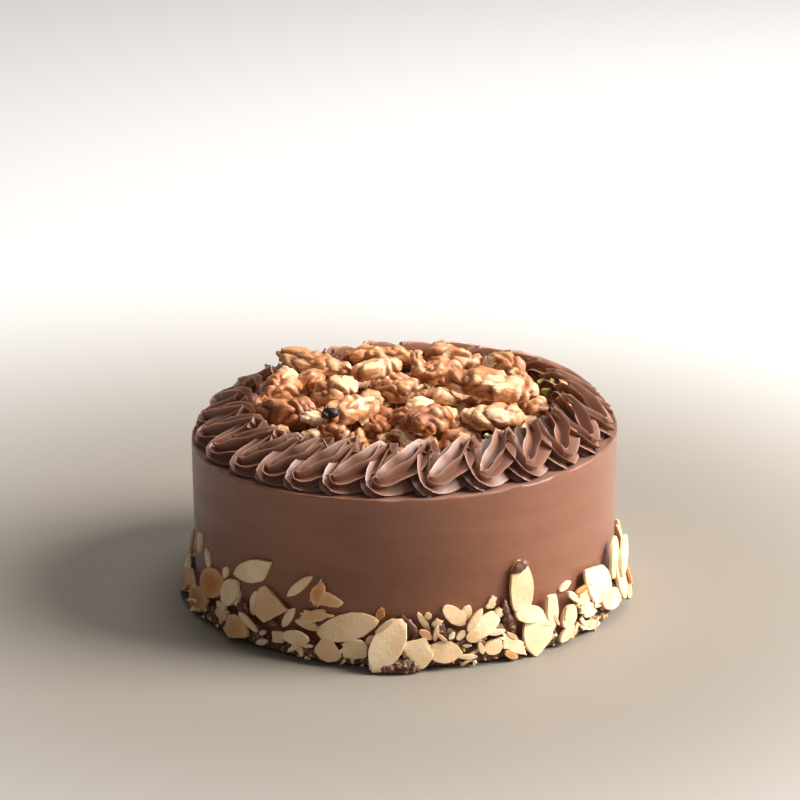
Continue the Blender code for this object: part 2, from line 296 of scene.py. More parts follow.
# %% Helpers for materials
class Recipe:
    """A material under construction: its Principled shader and the coordinates it reads."""

    def __init__(self, name, roughness, subsurface=0.0):
        self.material = bpy.data.materials.new(name)
        self.material.use_nodes = True
        self.tree = self.material.node_tree
        self.shader = self.tree.nodes["Principled BSDF"]
        self.shader.inputs["Roughness"].default_value = roughness
        self.shader.inputs["Subsurface Weight"].default_value = subsurface
        self.shader.inputs["Subsurface Radius"].default_value = (1.0, 0.5, 0.3)
        self.shader.inputs["Subsurface Scale"].default_value = 1.5 * MM
        self.place = self.tree.nodes.new("ShaderNodeTexCoord").outputs["Object"]

    def group(self, group, output, **values):
        node = self.tree.nodes.new("ShaderNodeGroup")
        node.node_tree = group
        join(self.tree, self.place, node.inputs["Vector"])
        for label, value in values.items():
            if isinstance(value, bpy.types.NodeSocket):
                join(self.tree, value, node.inputs[label])
            else:
                node.inputs[label].default_value = value
        return node.outputs[output]

    def blend(self, mask, first, second):
        """first where the mask is 0, second where it is 1; each a colour or a socket."""
        node = self.tree.nodes.new("ShaderNodeMix")
        node.data_type = "RGBA"
        join(self.tree, mask, node.inputs[0])
        for socket, value in ((node.inputs[6], first), (node.inputs[7], second)):
            if isinstance(value, bpy.types.NodeSocket):
                join(self.tree, value, socket)
            else:
                socket.default_value = (*value, 1.0)
        return node.outputs[2]

    def stored(self, label):
        node = self.tree.nodes.new("ShaderNodeAttribute")
        node.attribute_name = label
        return node.outputs["Fac"]

    def finish(self, colour, roughness=None, normal=None):
        join(self.tree, colour, self.shader.inputs["Base Color"])
        if roughness is not None:
            join(self.tree, roughness, self.shader.inputs["Roughness"])
        if normal is not None:
            join(self.tree, normal, self.shader.inputs["Normal"])
        return self.material


def add_piece(name, mesh, material, slot, *nodes):
    """Makes the mesh a piece of the cake: it rides on the body and stands for the named solids."""
    piece = bpy.data.objects.new(name, mesh)
    bpy.context.scene.collection.objects.link(piece)
    mesh.materials.clear()
    mesh.materials.append(material)
    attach(piece, "root")
    if nodes:
        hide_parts(*nodes)
    print(f"{name}: {len(mesh.polygons)} faces")
    return piece


def finished(bm, name, smooth=True):
    """Turns the worked shape into a plain mesh and frees it."""
    mesh = bpy.data.meshes.new(name)
    bm.to_mesh(mesh)
    bm.free()
    if smooth:
        mesh.shade_smooth()
    return mesh


def walled(bm, rings):
    """Joins each closed ring of points to the next with a band of faces."""
    for below, above in zip(rings, rings[1:]):
        for i in range(len(below)):
            j = (i + 1) % len(below)
            bm.faces.new((below[i], below[j], above[j], above[i]))


def middle_of(node):
    """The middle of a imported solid, in millimetres."""
    low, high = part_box(node)
    return [(a + b) / 2 / MM for a, b in zip(low, high)]


def store(mesh, label, values):
    """Keeps one number for each vertex on the mesh, for a material to read."""
    layer = mesh.attributes.new(label, "FLOAT", "POINT")
    layer.data.foreach_set("value", np.asarray(values, dtype=np.float32))


# %% [markdown]
# The body is covered with chocolate buttercream, drawn smooth with a long spatula. The strokes
# leave faint level bands, and where the side meets the top the spatula pushes up a thin lip. The
# shape is a profile turned round the axis, so it's built ring by ring. The bands and the lip are
# real changes of shape, because the raking light shows them. The bands come from noise that is
# stretched along the stroke.

# %% The iced body
AROUND = 288


def lip(angle):
    """How much of the thin lip stands at this place on the rim, from 0 to 1."""
    wave = noise.noise(Vector((9 * math.cos(angle), 9 * math.sin(angle), 2.0)))
    chip = noise.noise(Vector((40 * math.cos(angle), 40 * math.sin(angle), 5.0)))
    return max(0.0, min(1.0, 0.62 + 0.8 * wave - 1.1 * max(0.0, chip - 0.22)))


def stroke(angle, z):
    """How far the spatula's strokes raise the side, in millimetres."""
    across, along = z / 7.5, 1.6
    broad = noise.noise(Vector((along * math.cos(angle), along * math.sin(angle), across)))
    ridge = noise.noise(Vector((4 * math.cos(angle), 4 * math.sin(angle), 11 + z / 2.2)))
    return 0.27 * broad + 0.06 * ridge


def body_rings():
    """Rows of (radius, height share, kind): the side from the foot up, then the top inwards."""
    rows = [(FOOT_RADIUS - 1.0, 0.0, "side"), (FOOT_RADIUS - 0.2, 0.3, "side")]
    rows += [(FOOT_RADIUS + 0.8 * k / 44, 1.0 + 60.6 * k / 44, "side") for k in range(45)]
    rows += [(CAKE_RADIUS - 0.05, 62.2, "rim"), (CAKE_RADIUS - 0.15, 62.8, "lip"), (CAKE_RADIUS - 0.6, 63.05, "lip")]
    rows += [(CAKE_RADIUS - 1.2, 62.75, "rim"), (CAKE_RADIUS - 2.0, 62.55, "top")]
    rows += [(CAKE_RADIUS - 2.0 - 2.1 * k, 62.6, "top") for k in range(1, 16)]
    return rows


def body_mesh():
    bm = bmesh.new()
    rings = []
    for radius, height, kind in body_rings():
        ring = []
        for i in range(AROUND):
            angle = math.tau * i / AROUND
            r, z = radius, height
            if kind in ("side", "rim"):
                r += stroke(angle, height)
            if kind == "lip":
                r += stroke(angle, height) + 0.1 * lip(angle)
                z += 0.75 * lip(angle) - 0.25
            if kind == "top":
                z += 0.35 * noise.noise(Vector((r * math.cos(angle) / 16, r * math.sin(angle) / 16, 4.0)))
            x, y = r * math.cos(angle), r * math.sin(angle)
            ring.append(bm.verts.new((x * MM, y * MM, z * top_height(x, y) / CAKE_HEIGHT * MM)))
        rings.append(ring)
    walled(bm, rings)
    bm.faces.new(list(reversed(rings[0])))
    bm.faces.new(rings[-1])
    mesh = finished(bm, "iced_body")
    mesh.set_sharp_from_angle(angle=math.radians(60))
    return mesh


icing = Recipe("chocolate_icing", 0.5, 0.12)
level = (0.12, 0.12, 1.0)
streaks = icing.group(patches, "Mask", Stretch=level, Scale=150.0, Low=0.35, High=0.7)
clouds = icing.group(patches, "Mask", Stretch=(1, 1, 1), Scale=22.0, Low=0.35, High=0.7, Detail=2.0)
shaded_pinholes = icing.group(pinholes, "Mask", Scale=110.0, Size=0.09, Share=0.06)
colour = icing.blend(streaks, (0.188, 0.056, 0.0185), (0.218, 0.068, 0.025))
colour = icing.blend(number(icing.tree, "MULTIPLY", clouds, 0.6), colour, (0.240, 0.083, 0.035))
# Painted shade: each pinhole is painted near-black as the shade inside it; the mask also dents the relief.
colour = icing.blend(number(icing.tree, "MULTIPLY", shaded_pinholes, 0.7), colour, (0.05, 0.02, 0.012))
sheen = number(icing.tree, "MULTIPLY_ADD", streaks, -0.08, 0.50)
relief = icing.group(fine_relief, "Normal", Stretch=(0.35, 0.35, 1.0), Scale=420.0, Depth=0.00012, Holes=shaded_pinholes)
icing.shader.inputs["Specular IOR Level"].default_value = 0.75
icing.shader.inputs["Sheen Weight"].default_value = 0.36
icing.shader.inputs["Sheen Roughness"].default_value = 0.4
chocolate_icing = icing.finish(colour, sheen, relief)
add_piece("iced_body", body_mesh(), chocolate_icing, "cocoa_icing", "cake_body")

# %% [markdown]
# The border is one strand from a star nozzle, piped anticlockwise. The hand moves out to the rim,
# turns, comes back in and lifts, twenty-six times, and each loop lies over the one before. Seen
# from above, the middle of the strand follows a loop curve: a steady move along the rim plus a
# circle. The nozzle doesn't turn with the path, so its points draw ridges that fan out round each
# loop. That rule makes the border, so it's a Geometry Nodes tree: it carries a star along a path.
#
# The path itself is worked out here, because a hand isn't even: the loops are a little closer on
# the left of the cake than on the right, reach further out at both sides, and stand higher at the
# back.

# %% The path of the nozzle
LOOPS = 26
STEPS = 42
LOOP_RING = 66.0
TAIL_AZIMUTHS = (-49.4, -38.2, -28.2, -17.4, -5.0, 10.0, 24.8, 39.4, 53.4)  # outer ends of the front loops


def loop_table():
    """Azimuth of each loop's outer end: the front ones as listed, the rest spread evenly."""
    table = list(TAIL_AZIMUTHS)
    rest = LOOPS - len(table)
    step = (360.0 + table[0] - table[-1]) / (rest + 1)
    chance = random.Random(3)
    table += [table[-1] + step * (k + 1) + chance.uniform(-0.7, 0.7) for k in range(rest)]
    return table


def smooth_table(values, u, turn=0.0):
    """A smooth curve through values at 0, 1, 2..., which repeats and gains turn each time round."""
    n = len(values)
    k = math.floor(u)
    t = u - k
    a, b, c, d = (values[(k + i) % n] + turn * ((k + i) // n) for i in (-1, 0, 1, 2))
    return b + 0.5 * t * (c - a + t * (2 * a - 5 * b + 4 * c - d + t * (3 * (b - c) + d - a)))


hand = random.Random(11)
tails = loop_table()
reach = [hand.uniform(-0.5, 0.5) for _ in range(LOOPS)]
lift = [hand.uniform(-0.9, 0.9) for _ in range(LOOPS)]
wobble = [hand.uniform(-0.7, 0.7) for _ in range(LOOPS)]
girth = [hand.uniform(0.96, 1.05) for _ in range(LOOPS)]
# One loop at eight moments, from an inner hook by way of the outer end to the next hook, in mm:
OUTWARDS = (-8.0, -6.5, -2.0, 4.5, 7.4, 3.6, -0.6, -5.0)  # from the ring, towards the rim
AHEAD = (6.2, 3.4, 0.2, -2.4, -3.6, -1.4, 1.6, 4.2)  # along the rim, ahead of an even advance
RISE = (10.0, 9.0, 6.0, 3.5, 2.6, 3.2, 4.8, 8.0)  # of the strand's middle above the cake
SWELL = (0.78, 0.75, 0.78, 0.75, 0.62, 0.92, 1.08, 0.96)  # girth for the usual one
ROLL = -0.65
STAR_POINTS = 8
GROOVE = 0.57
SHARPNESS = 0.7
GIRTH = 7.0
WIDER = 1.8  # how much further out the loops lie at the left and right, in mm
HIGHER = 1.7  # how much higher they stand at the back, in mm
SEAT = 1.2  # how deep the strand's flat underside lies in the top, in mm


def nozzle_place(u):
    """Middle of the strand after u loops, in millimetres: whole numbers are the inner hooks."""
    out = smooth_table(OUTWARDS, 8 * u) + smooth_table(reach, u)
    base = math.radians(smooth_table(tails, u - 0.5, 360.0)) * LOOP_RING
    along = base + smooth_table(AHEAD, 8 * u)
    azimuth = math.degrees(along / LOOP_RING)
    wider = WIDER * math.sin(along / LOOP_RING) ** 2
    radius = LOOP_RING + out + smooth_table(wobble, u) + wider
    higher = HIGHER * max(0.0, -math.cos(along / LOOP_RING))
    rise = smooth_table(RISE, 8 * u) * (1 + 0.08 * smooth_table(lift, u)) + higher
    place = spot(azimuth, radius, 0.0)
    place.z = top_height(place.x, place.y) + rise
    return place


def strand_girth(u):
    """Girth of the strand there for its usual one: it thins out towards each outer end."""
    return smooth_table(girth, u) * smooth_table(SWELL, 8 * u)


def nozzle_frames():
    """Places along the path, with the direction of one point of the star at each."""
    count = LOOPS * STEPS
    places = [nozzle_place(i / STEPS) for i in range(count)]
    rows = []
    for i, place in enumerate(places):
        forward = (places[(i + 1) % count] - places[i - 1]).normalized()
        up = (Vector((0, 0, 1)) - forward * forward.z).normalized()
        side = forward.cross(up)
        angle = math.atan2(place.y, place.x)
        rim = Vector((-math.sin(angle), math.cos(angle), 0))
        outwards = Vector((math.cos(angle), math.sin(angle), 0))
        roll = ROLL * math.atan2(-forward.dot(outwards), forward.dot(rim))
        rows.append((place, side * math.cos(roll) + up * math.sin(roll)))
    return rows


frames = nozzle_frames()
print(f"the strand is {sum((a[0] - b[0]).length for a, b in zip(frames, frames[1:])):.0f} mm long")

# %% [markdown]
# The tree: the path becomes a curve whose normals are the star's directions. A circle becomes the
# star: its radius is pulled in between the points, and the power decides how sharp they are. The
# depth of the groove is kept as `crest`, 1 on a ridge and 0 in a groove, so that the material can
# paint a highlight on the thin ridges and paint shade into the grooves. Last, everything below the
# cake's top is flattened onto it.

# %% A tree that pipes the strand
def tree_with(name, inputs):
    """An empty Geometry Nodes tree with named inputs besides its geometry."""
    tree = bpy.data.node_groups.new(name, "GeometryNodeTree")
    tree.interface.new_socket("Geometry", in_out="INPUT", socket_type="NodeSocketGeometry")
    for label, kind, value in inputs:
        socket = tree.interface.new_socket(label, in_out="INPUT", socket_type=kind)
        if value is not None:
            socket.default_value = value
    tree.interface.new_socket("Geometry", in_out="OUTPUT", socket_type="NodeSocketGeometry")
    return tree, tree.nodes.new("NodeGroupInput").outputs, tree.nodes.new("NodeGroupOutput").inputs


def place_node(tree, kind, settings=None, **sockets):
    """A node of the tree, its settings chosen and its inputs set by name to numbers or sockets."""
    node = tree.nodes.new(kind)
    for label, value in (settings or {}).items():
        setattr(node, label, value)
    for label, value in sockets.items():
        socket = node.inputs[label.replace("_", " ")]
        if isinstance(value, bpy.types.NodeSocket):
            tree.links.new(value, socket)
        else:
            socket.default_value = value
    return node


def stored_value(tree, label, kind="FLOAT"):
    return place_node(tree, "GeometryNodeInputNamedAttribute", {"data_type": kind}, Name=label).outputs[0]


def grow(name, mesh, tree, **values):
    """Runs the tree on the mesh and gives back the plain mesh it makes."""
    seed = bpy.data.objects.new(name, mesh)
    bpy.context.scene.collection.objects.link(seed)
    modifier = seed.modifiers.new(tree.name, "NODES")
    modifier.node_group = tree
    for item in tree.interface.items_tree:
        label = item.name.replace(" ", "_")
        if item.in_out == "INPUT" and label in values:
            modifier[item.identifier] = values[label]
    graph = bpy.context.evaluated_depsgraph_get()
    grown = bpy.data.meshes.new_from_object(seed.evaluated_get(graph))
    grown.name = name
    bpy.data.objects.remove(seed)
    return grown


piping, given, result = tree_with(
    "star_piping",
    [("Girth", FLOAT, 0.0068), ("Star points", "NodeSocketInt", 8), ("Fineness", "NodeSocketInt", 80),
     ("Groove", FLOAT, 0.4), ("Sharpness", FLOAT, 0.85), ("Cream", "NodeSocketMaterial", None)],
)
curve = place_node(piping, "GeometryNodeMeshToCurve", Mesh=given["Geometry"])
facing = place_node(
    piping, "GeometryNodeSetCurveNormal", {"mode": "FREE"},
    Curve=curve.outputs[0], Normal=stored_value(piping, "star_side", "FLOAT_VECTOR"),
)
circle = place_node(piping, "GeometryNodeCurvePrimitiveCircle", Resolution=given["Fineness"], Radius=1.0)
order = piping.nodes.new("GeometryNodeInputIndex").outputs[0]
turned = number(piping, "MULTIPLY", number(piping, "DIVIDE", order, given["Fineness"]), math.tau)
half_turn = number(piping, "MULTIPLY", number(piping, "MULTIPLY", turned, given["Star points"]), 0.5)
valley = number(piping, "POWER", number(piping, "ABSOLUTE", number(piping, "SINE", half_turn)), given["Sharpness"])
shrink = number(piping, "SUBTRACT", 1.0, number(piping, "MULTIPLY", valley, given["Groove"]))
size = number(piping, "MULTIPLY", shrink, given["Girth"])
where = piping.nodes.new("GeometryNodeInputPosition").outputs[0]
scaled = place_node(piping, "ShaderNodeVectorMath", {"operation": "SCALE"}, Vector=where, Scale=size)
star = place_node(piping, "GeometryNodeSetPosition", Geometry=circle.outputs[0], Position=scaled.outputs[0])
marked = place_node(
    piping, "GeometryNodeStoreNamedAttribute", {"data_type": "FLOAT", "domain": "POINT"},
    Geometry=star.outputs[0], Name="crest", Value=number(piping, "SUBTRACT", 1.0, valley),
)
swept = place_node(
    piping, "GeometryNodeCurveToMesh",
    Curve=facing.outputs[0], Profile_Curve=marked.outputs[0], Scale=stored_value(piping, "girth"),
)
where = piping.nodes.new("GeometryNodeInputPosition").outputs[0]
split = place_node(piping, "ShaderNodeSeparateXYZ", Vector=where)
slope = number(piping, "ADD", number(piping, "MULTIPLY", split.outputs[0], SLOPE_X), (CAKE_HEIGHT - SEAT) * MM)
slope = number(piping, "ADD", slope, number(piping, "MULTIPLY", split.outputs[1], SLOPE_Y))
level_up = number(piping, "MAXIMUM", split.outputs[2], slope)
merged = place_node(piping, "ShaderNodeCombineXYZ", X=split.outputs[0], Y=split.outputs[1], Z=level_up)
seated = place_node(piping, "GeometryNodeSetPosition", Geometry=swept.outputs[0], Position=merged.outputs[0])
real = place_node(piping, "GeometryNodeRealizeInstances", Geometry=seated.outputs[0])
dressed = place_node(piping, "GeometryNodeSetMaterial", Geometry=real.outputs[0], Material=given["Cream"])
join(piping, dressed.outputs[0], result["Geometry"])
print("star_piping has", len(piping.nodes), "nodes")

# %% [markdown]
# The cream is the body's buttercream, whipped: a touch paler and greyer, with a soft sheen and a
# few pinholes, painted near-black as the shade inside them. Its thin ridges are painted pale, a
# painted highlight, and its grooves are painted dark, a painted shade. The `crest` kept by the tree
# drives both.

# %% The piped border
cream = Recipe("piped_cream", 0.5, 0.15)
clouds = cream.group(patches, "Mask", Stretch=(1, 1, 1), Scale=60.0, Low=0.35, High=0.7)
shaded_pinholes = cream.group(pinholes, "Mask", Scale=190.0, Size=0.13, Share=0.10)
ridge = number(cream.tree, "POWER", cream.stored("crest"), 6.0)
colour = cream.blend(clouds, (0.200, 0.078, 0.044), (0.242, 0.101, 0.059))
cream.shader.inputs["Specular IOR Level"].default_value = 0.65
# Painted shade: the grooves are painted dark, as if shade lay in them.
groove = number(cream.tree, "POWER", number(cream.tree, "SUBTRACT", 1.0, cream.stored("crest")), 2.5)
colour = cream.blend(number(cream.tree, "MULTIPLY", groove, 0.55), colour, (0.12, 0.046, 0.027))
# Painted highlight: the thin ridges are painted pale, as if they caught the light.
colour = cream.blend(number(cream.tree, "MULTIPLY", ridge, 0.72), colour, (0.52, 0.34, 0.27))
# Painted shade: each pinhole is painted near-black as the shade inside it; the mask also dents the relief.
colour = cream.blend(number(cream.tree, "MULTIPLY", shaded_pinholes, 0.8), colour, (0.04, 0.017, 0.01))
relief = cream.group(fine_relief, "Normal", Stretch=(1, 1, 1), Scale=700.0, Depth=0.00006, Holes=shaded_pinholes)
piped_cream = cream.finish(colour, None, relief)


def path_mesh():
    """The path as a closed chain of edges that carries the star's direction and the girth."""
    mesh = bpy.data.meshes.new("nozzle_path")
    count = len(frames)
    mesh.from_pydata([place * MM for place, _ in frames], [(i, (i + 1) % count) for i in range(count)], [])
    layer = mesh.attributes.new("star_side", "FLOAT_VECTOR", "POINT")
    layer.data.foreach_set("vector", np.array([tuple(side) for _, side in frames], dtype=np.float32).ravel())
    store(mesh, "girth", [strand_girth(i / STEPS) for i in range(count)])
    return mesh


def faced_outwards(mesh, angle):
    """Makes the faces point outwards and the mesh smooth but for edges sharper than the angle."""
    bm = bmesh.new()
    bm.from_mesh(mesh)
    bmesh.ops.recalc_face_normals(bm, faces=bm.faces)
    bm.to_mesh(mesh)
    bm.free()
    mesh.shade_smooth()
    mesh.set_sharp_from_angle(angle=math.radians(angle))
    return mesh


border = grow(
    "piped_border", path_mesh(), piping,
    Girth=GIRTH * MM, Star_points=STAR_POINTS, Fineness=10 * STAR_POINTS, Groove=GROOVE,
    Sharpness=SHARPNESS, Cream=piped_cream,
)
faced_outwards(border, 40)
swirls = [f"swirl_{k:02d}" for k in range(1, 27)]
add_piece("piped_border", border, piped_cream, "piped_cream", *swirls)

# %% [markdown]
# A walnut kernel is a lump folded like a brain. The folds are smooth and rounded on top, and meet
# in sharp creases. The absolute value of a noise has just that shape: it is round between the
# places where the noise passes zero, and sharp where it does. So a kernel is a fine ball, stretched
# to length, width and thickness, and sunk along the creases. A half has one more furrow along its
# back. Kernels break with flat faces, so every point beyond a break is pushed back onto its plane.
#
# Each point keeps two numbers for the material: `crease`, deep in a fold, and `flesh`, on a break.

# %% Walnut kernels
FOLD = 6.6  # width of a fold, in mm


def kernel_mesh(name, size, seed, breaks=(), fold_depth=2.2, furrow=1.5, bend=0.0, fineness=5, fold=FOLD):
    """A kernel centred on its middle. A break is (direction, distance from the middle in mm)."""
    length, width, thick = size
    bm = bmesh.new()
    bmesh.ops.create_icosphere(bm, subdivisions=fineness, radius=1.0)
    shift = Vector((17.3, 5.1, 9.7)) * seed
    planes = [(Vector(direction).normalized(), distance) for direction, distance in breaks]
    creases, flesh = [], []
    for vertex in bm.verts:
        d = vertex.co.normalized()
        base = Vector((math.copysign(abs(d.x) ** 0.85, d.x) * length, d.y * width, d.z * thick)) / 2
        q = base / fold + shift
        q += noise.noise_vector(q * 0.6) * 0.8
        large = min(1.0, abs(noise.noise(q)) * 2.8) ** 0.6
        small = min(1.0, abs(noise.noise(q * 2.3)) * 2.8) ** 0.7
        sunk = fold_depth * (1 - large) + 0.22 * fold_depth * (1 - small)
        if d.z > 0:
            sunk += furrow * math.exp(-((base.y / 1.2) ** 2))
        out = Vector((d.x / length, d.y / width, d.z / thick)).normalized()
        p = base - out * (sunk - 0.35 * fold_depth)
        bare = 0.0
        for direction, distance in planes:
            rough = 1.1 * noise.noise(p / 2.6 + shift) + 0.4 * noise.noise(p / 0.9 + shift)
            over = p.dot(direction) - distance - rough
            if over > 0:
                p -= direction * over * 0.97
                bare = 1.0
        p.z += bend * (2 * p.x / length) ** 2
        vertex.co = p * MM
        creases.append((1 - large) * (1 - bare))
        flesh.append(bare)
    mesh = finished(bm, name)
    store(mesh, "crease", creases)
    store(mesh, "flesh", flesh)
    return mesh


def posed(mesh, place, turn=0.0, tip=0.0, roll=0.0):
    """Turns the mesh by degrees about its length, its width and the upright, then moves it."""
    angles = [Matrix.Rotation(math.radians(a), 4, axis) for a, axis in ((turn, "Z"), (tip, "Y"), (roll, "X"))]
    mesh.transform(Matrix.Translation(Vector(place) * MM) @ angles[0] @ angles[1] @ angles[2])
    return mesh


# %% [markdown]
# Toasted kernels are golden where the skin has rubbed thin on top of the folds, and dark rust brown
# in the creases: partly the skin's own colour there, partly painted shade. Broken faces are cream.
# A number stored on each piece, `toast`, makes one darker than the next, and above 1.2 the skin is
# burnt black. The skin is a little oily, so it has a soft gloss; the flesh is dry.

# %% Walnut skin and flesh
kernel = Recipe("walnut_kernel", 0.42, 0.22)
toast = kernel.stored("toast")
crease = kernel.stored("crease")
flesh = kernel.stored("flesh")
spots = kernel.group(patches, "Mask", Scale=170.0, Low=0.38, High=0.66)
specks = kernel.group(patches, "Mask", Scale=700.0, Low=0.5, High=0.75)
rubbed = kernel.group(patches, "Mask", Scale=110.0, Low=0.50, High=0.62)
colour = kernel.blend(toast, (0.84, 0.42, 0.19), (0.34, 0.095, 0.030))
colour = kernel.blend(number(kernel.tree, "MULTIPLY", spots, 0.38), colour, (0.56, 0.22, 0.07))
colour = kernel.blend(number(kernel.tree, "MULTIPLY", rubbed, 0.5), colour, (0.90, 0.62, 0.37))
# Partly the skin's own colour, partly painted shade: the creases are painted nearly black-brown.
deep = number(kernel.tree, "MULTIPLY", number(kernel.tree, "POWER", crease, 0.85), 0.97)
colour = kernel.blend(deep, colour, (0.22, 0.058, 0.014))
colour = kernel.blend(number(kernel.tree, "MULTIPLY", specks, 0.35), colour, (0.30, 0.10, 0.03))
burnt = number(kernel.tree, "SUBTRACT", toast, 1.2, clamp=True)
colour = kernel.blend(burnt, colour, (0.03, 0.016, 0.011))
meat = kernel.blend(spots, (0.87, 0.65, 0.42), (0.80, 0.49, 0.26))
colour = kernel.blend(flesh, colour, meat)
sheen = number(kernel.tree, "MULTIPLY_ADD", flesh, 0.2, 0.44)
relief = kernel.group(fine_relief, "Normal", Scale=800.0, Depth=0.0003)
walnut_kernel = kernel.finish(colour, sheen, relief)


def toasted(mesh, value):
    store(mesh, "toast", [value] * len(mesh.vertices))
    return mesh


# %% [markdown]
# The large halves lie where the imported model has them, so each takes its middle from the box of
# its solid. The table gives what the solid doesn't: the full size, how it's turned, how toasted
# it is, and where it broke. Each is a piece of its own, so one can be moved or left out.

# %% The large walnut halves
UNDER = ((0, 0, -1), 2.5)
HALVES = (
    # length, width, thickness, turn, tip, roll, toast, fold depth, bend, breaks
    (33, 13, 11, -24, 6, -12, 0.20, 2.0, 1.5, (UNDER, ((1, 0.4, 0.6), 12.0))),
    (30, 9, 8.5, -3, 0, 10, 0.15, 1.6, 0.5, (UNDER, ((0, -1, 0.8), 5.0))),
    (24, 13, 11, -18, 2, 0, 0.45, 2.4, 0.0, (UNDER,)),
    (22, 13, 11, -50, 0, 8, 0.55, 2.4, 0.0, (UNDER, ((-0.3, -1, 0.7), 5.2))),
    (20, 13, 10, 12, -8, -20, 0.15, 1.8, 1.0, (UNDER, ((0.1, -0.6, 1), 4.5))),
    (19, 13, 11, 40, 0, 0, 0.40, 2.4, 0.0, (UNDER,)),
    (20, 13, 12, 68, 4, 14, 0.55, 1.9, 0.0, (UNDER,)),
    (19, 13, 11, 34, -6, 0, 0.25, 2.2, 0.0, (UNDER, ((0.5, -0.6, 0.8), 5.2))),
    (20, 13, 12, -32, 8, -6, 0.35, 2.4, 1.0, (UNDER, ((-1, -0.2, 0.5), 6.0))),
    (35, 21, 14, -22, 4, -10, 0.45, 3.0, 1.5, (UNDER, ((0.15, -0.55, 1), 7.6))),
    (23, 13, 12, -14, 0, 10, 0.75, 2.4, 0.0, (UNDER,)),
    (24, 13, 10, 24, -8, 0, 0.10, 1.8, 0.0, (UNDER, ((0.1, -0.5, 1), 4.8), ((-1, 0.2, 0.3), 9.0))),
    (19, 13, 12, 40, 0, 0, 0.95, 1.9, 0.0, (UNDER,)),
    (22, 12, 10, 8, 0, 8, 0.15, 1.7, 0.0, (UNDER, ((0, -0.7, 1), 4.8))),
)

for k, (length, width, thick, turn, tip, roll, toast_level, depth, bend, breaks) in enumerate(HALVES):
    half = kernel_mesh(f"walnut_half_{k + 1:02d}", (length, width, thick), k + 1, breaks, depth, 1.5, bend)
    posed(toasted(half, toast_level), middle_of(f"walnut_{k + 1:02d}"), turn, tip, roll)
    add_piece(half.name, half, walnut_kernel, "walnut", f"walnut_{k + 1:02d}")

# %% [markdown]
# Some broken pieces lie beside and on top of the halves. They're made the same way, from a table
# of places. The palest ones have lost their skin, so their `flesh` is raised all over. One end
# has burnt black.

# %% Walnut pieces placed one by one
# Most places began as pixels read off the photo by eye. A scratch script made them millimetres
# with a camera fitted to the photo, and many were then moved by hand.
PIECES = (
    # x, y, z, size, turn, toast, fold depth, bare
    (-45, 22, 76, (11, 8.5, 8), -60, 0.05, 1.0, 0.9),
    (-52, -5, 72, (12, 10, 9), 80, 0.60, 1.8, 0.0),
    (-41, -15, 72, (13, 9, 9), -20, 0.85, 1.8, 0.0),
    (-35, 21, 75, (12, 10, 9), 30, 0.35, 1.8, 0.0),
    (-27, -27, 78.4, (8, 4.5, 3.4), 25, 2.20, 1.9, 0.0),
    (-33, -21, 74, (11, 6, 5), 20, 0.05, 1.0, 0.9),
    (-17, -18, 76, (12, 9, 6), 35, 0.05, 1.2, 0.8),
    (-26, -27, 71, (13, 9, 8), -10, 0.85, 1.8, 0.0),
    (-34, -28, 70, (9, 6, 5), -20, 0.05, 1.0, 0.9),
    (-10, -25, 72, (11, 9, 9), 60, 0.90, 1.8, 0.0),
    (0, -22, 74, (12, 9, 9), -30, 0.75, 1.8, 0.0),
    (6, -15, 77, (13, 8, 7), 50, 0.05, 1.4, 0.8),
    (12, -28, 73, (10, 9, 8), 20, 1.00, 1.3, 0.0),
    (15, -5, 77, (9, 7, 6), 0, 0.05, 1.0, 0.9),
    (16, -20, 74, (10, 8, 7), 70, 0.20, 1.4, 0.3),
    (2, -36, 70, (8, 6, 6), 20, 0.05, 1.0, 0.9),
    (19, -33, 71, (12, 8, 7), -30, 0.30, 1.4, 0.2),
    (28, -21, 74, (15, 11, 8), -15, 0.10, 1.3, 0.7),
    (38, -18, 73, (14, 9, 8), 10, 0.35, 1.6, 0.0),
    (49, -1, 72, (14, 8, 7), 15, 0.45, 1.6, 0.0),
    (5, 30, 79, (6, 13, 9), 0, 0.45, 1.6, 0.0),
    (14, 27, 77, (9, 8, 8), 20, 0.55, 1.6, 0.0),
    (-4, 2, 77, (14, 10, 9), -20, 0.40, 1.8, 0.0),
    (-13, -4, 75, (12, 9, 8), 30, 0.35, 1.8, 0.2),
    (43, 15, 76.5, (12, 11, 9), -60, 0.60, 1.8, 0.0),
    (-33, 31, 77, (14, 9, 8), -35, 0.40, 1.6, 0.0),
    (-47, -24, 69, (10, 8, 7), 50, 0.55, 1.6, 0.0),
    (30, -38, 69, (9, 7, 6), 40, 0.15, 1.2, 0.6),
    (-17, -37, 69, (10, 7, 7), -40, 0.50, 1.6, 0.0),
    (-52, 6, 71, (9, 8, 8), 10, 0.45, 1.6, 0.0),
)

def merged(name, meshes):
    """One mesh made of several; the attributes are kept."""
    bm = bmesh.new()
    for mesh in meshes:
        bm.from_mesh(mesh)
        bpy.data.meshes.remove(mesh)
    return finished(bm, name, smooth=False)


loose = []
for k, (x, y, z, size, turn, toast_level, depth, bare) in enumerate(PIECES):
    lump = kernel_mesh(f"piece_{k}", size, 60 + k, (), depth, 0.6, 0.0, 4, 4.4)
    if bare:
        for row in lump.attributes["flesh"].data:
            row.value = bare
    loose.append(posed(toasted(lump, toast_level), (x, y, z), turn, 14 * math.sin(3 * k), 20 * math.cos(5 * k)))
add_piece("walnut_loose", merged("walnut_loose", loose), walnut_kernel, "walnut")

# %% [markdown]
# Between the halves lie dozens of smaller pieces. They're all alike in kind, so a Geometry Nodes
# tree scatters them: it spreads points over a surface, no two closer than a given spacing, and
# puts one of a few shapes on each, at a random turn and size. The surface is a low dome, smaller
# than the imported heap, since the pieces on it make up the rest. The same tree is used again below
# for almonds and crumbs.

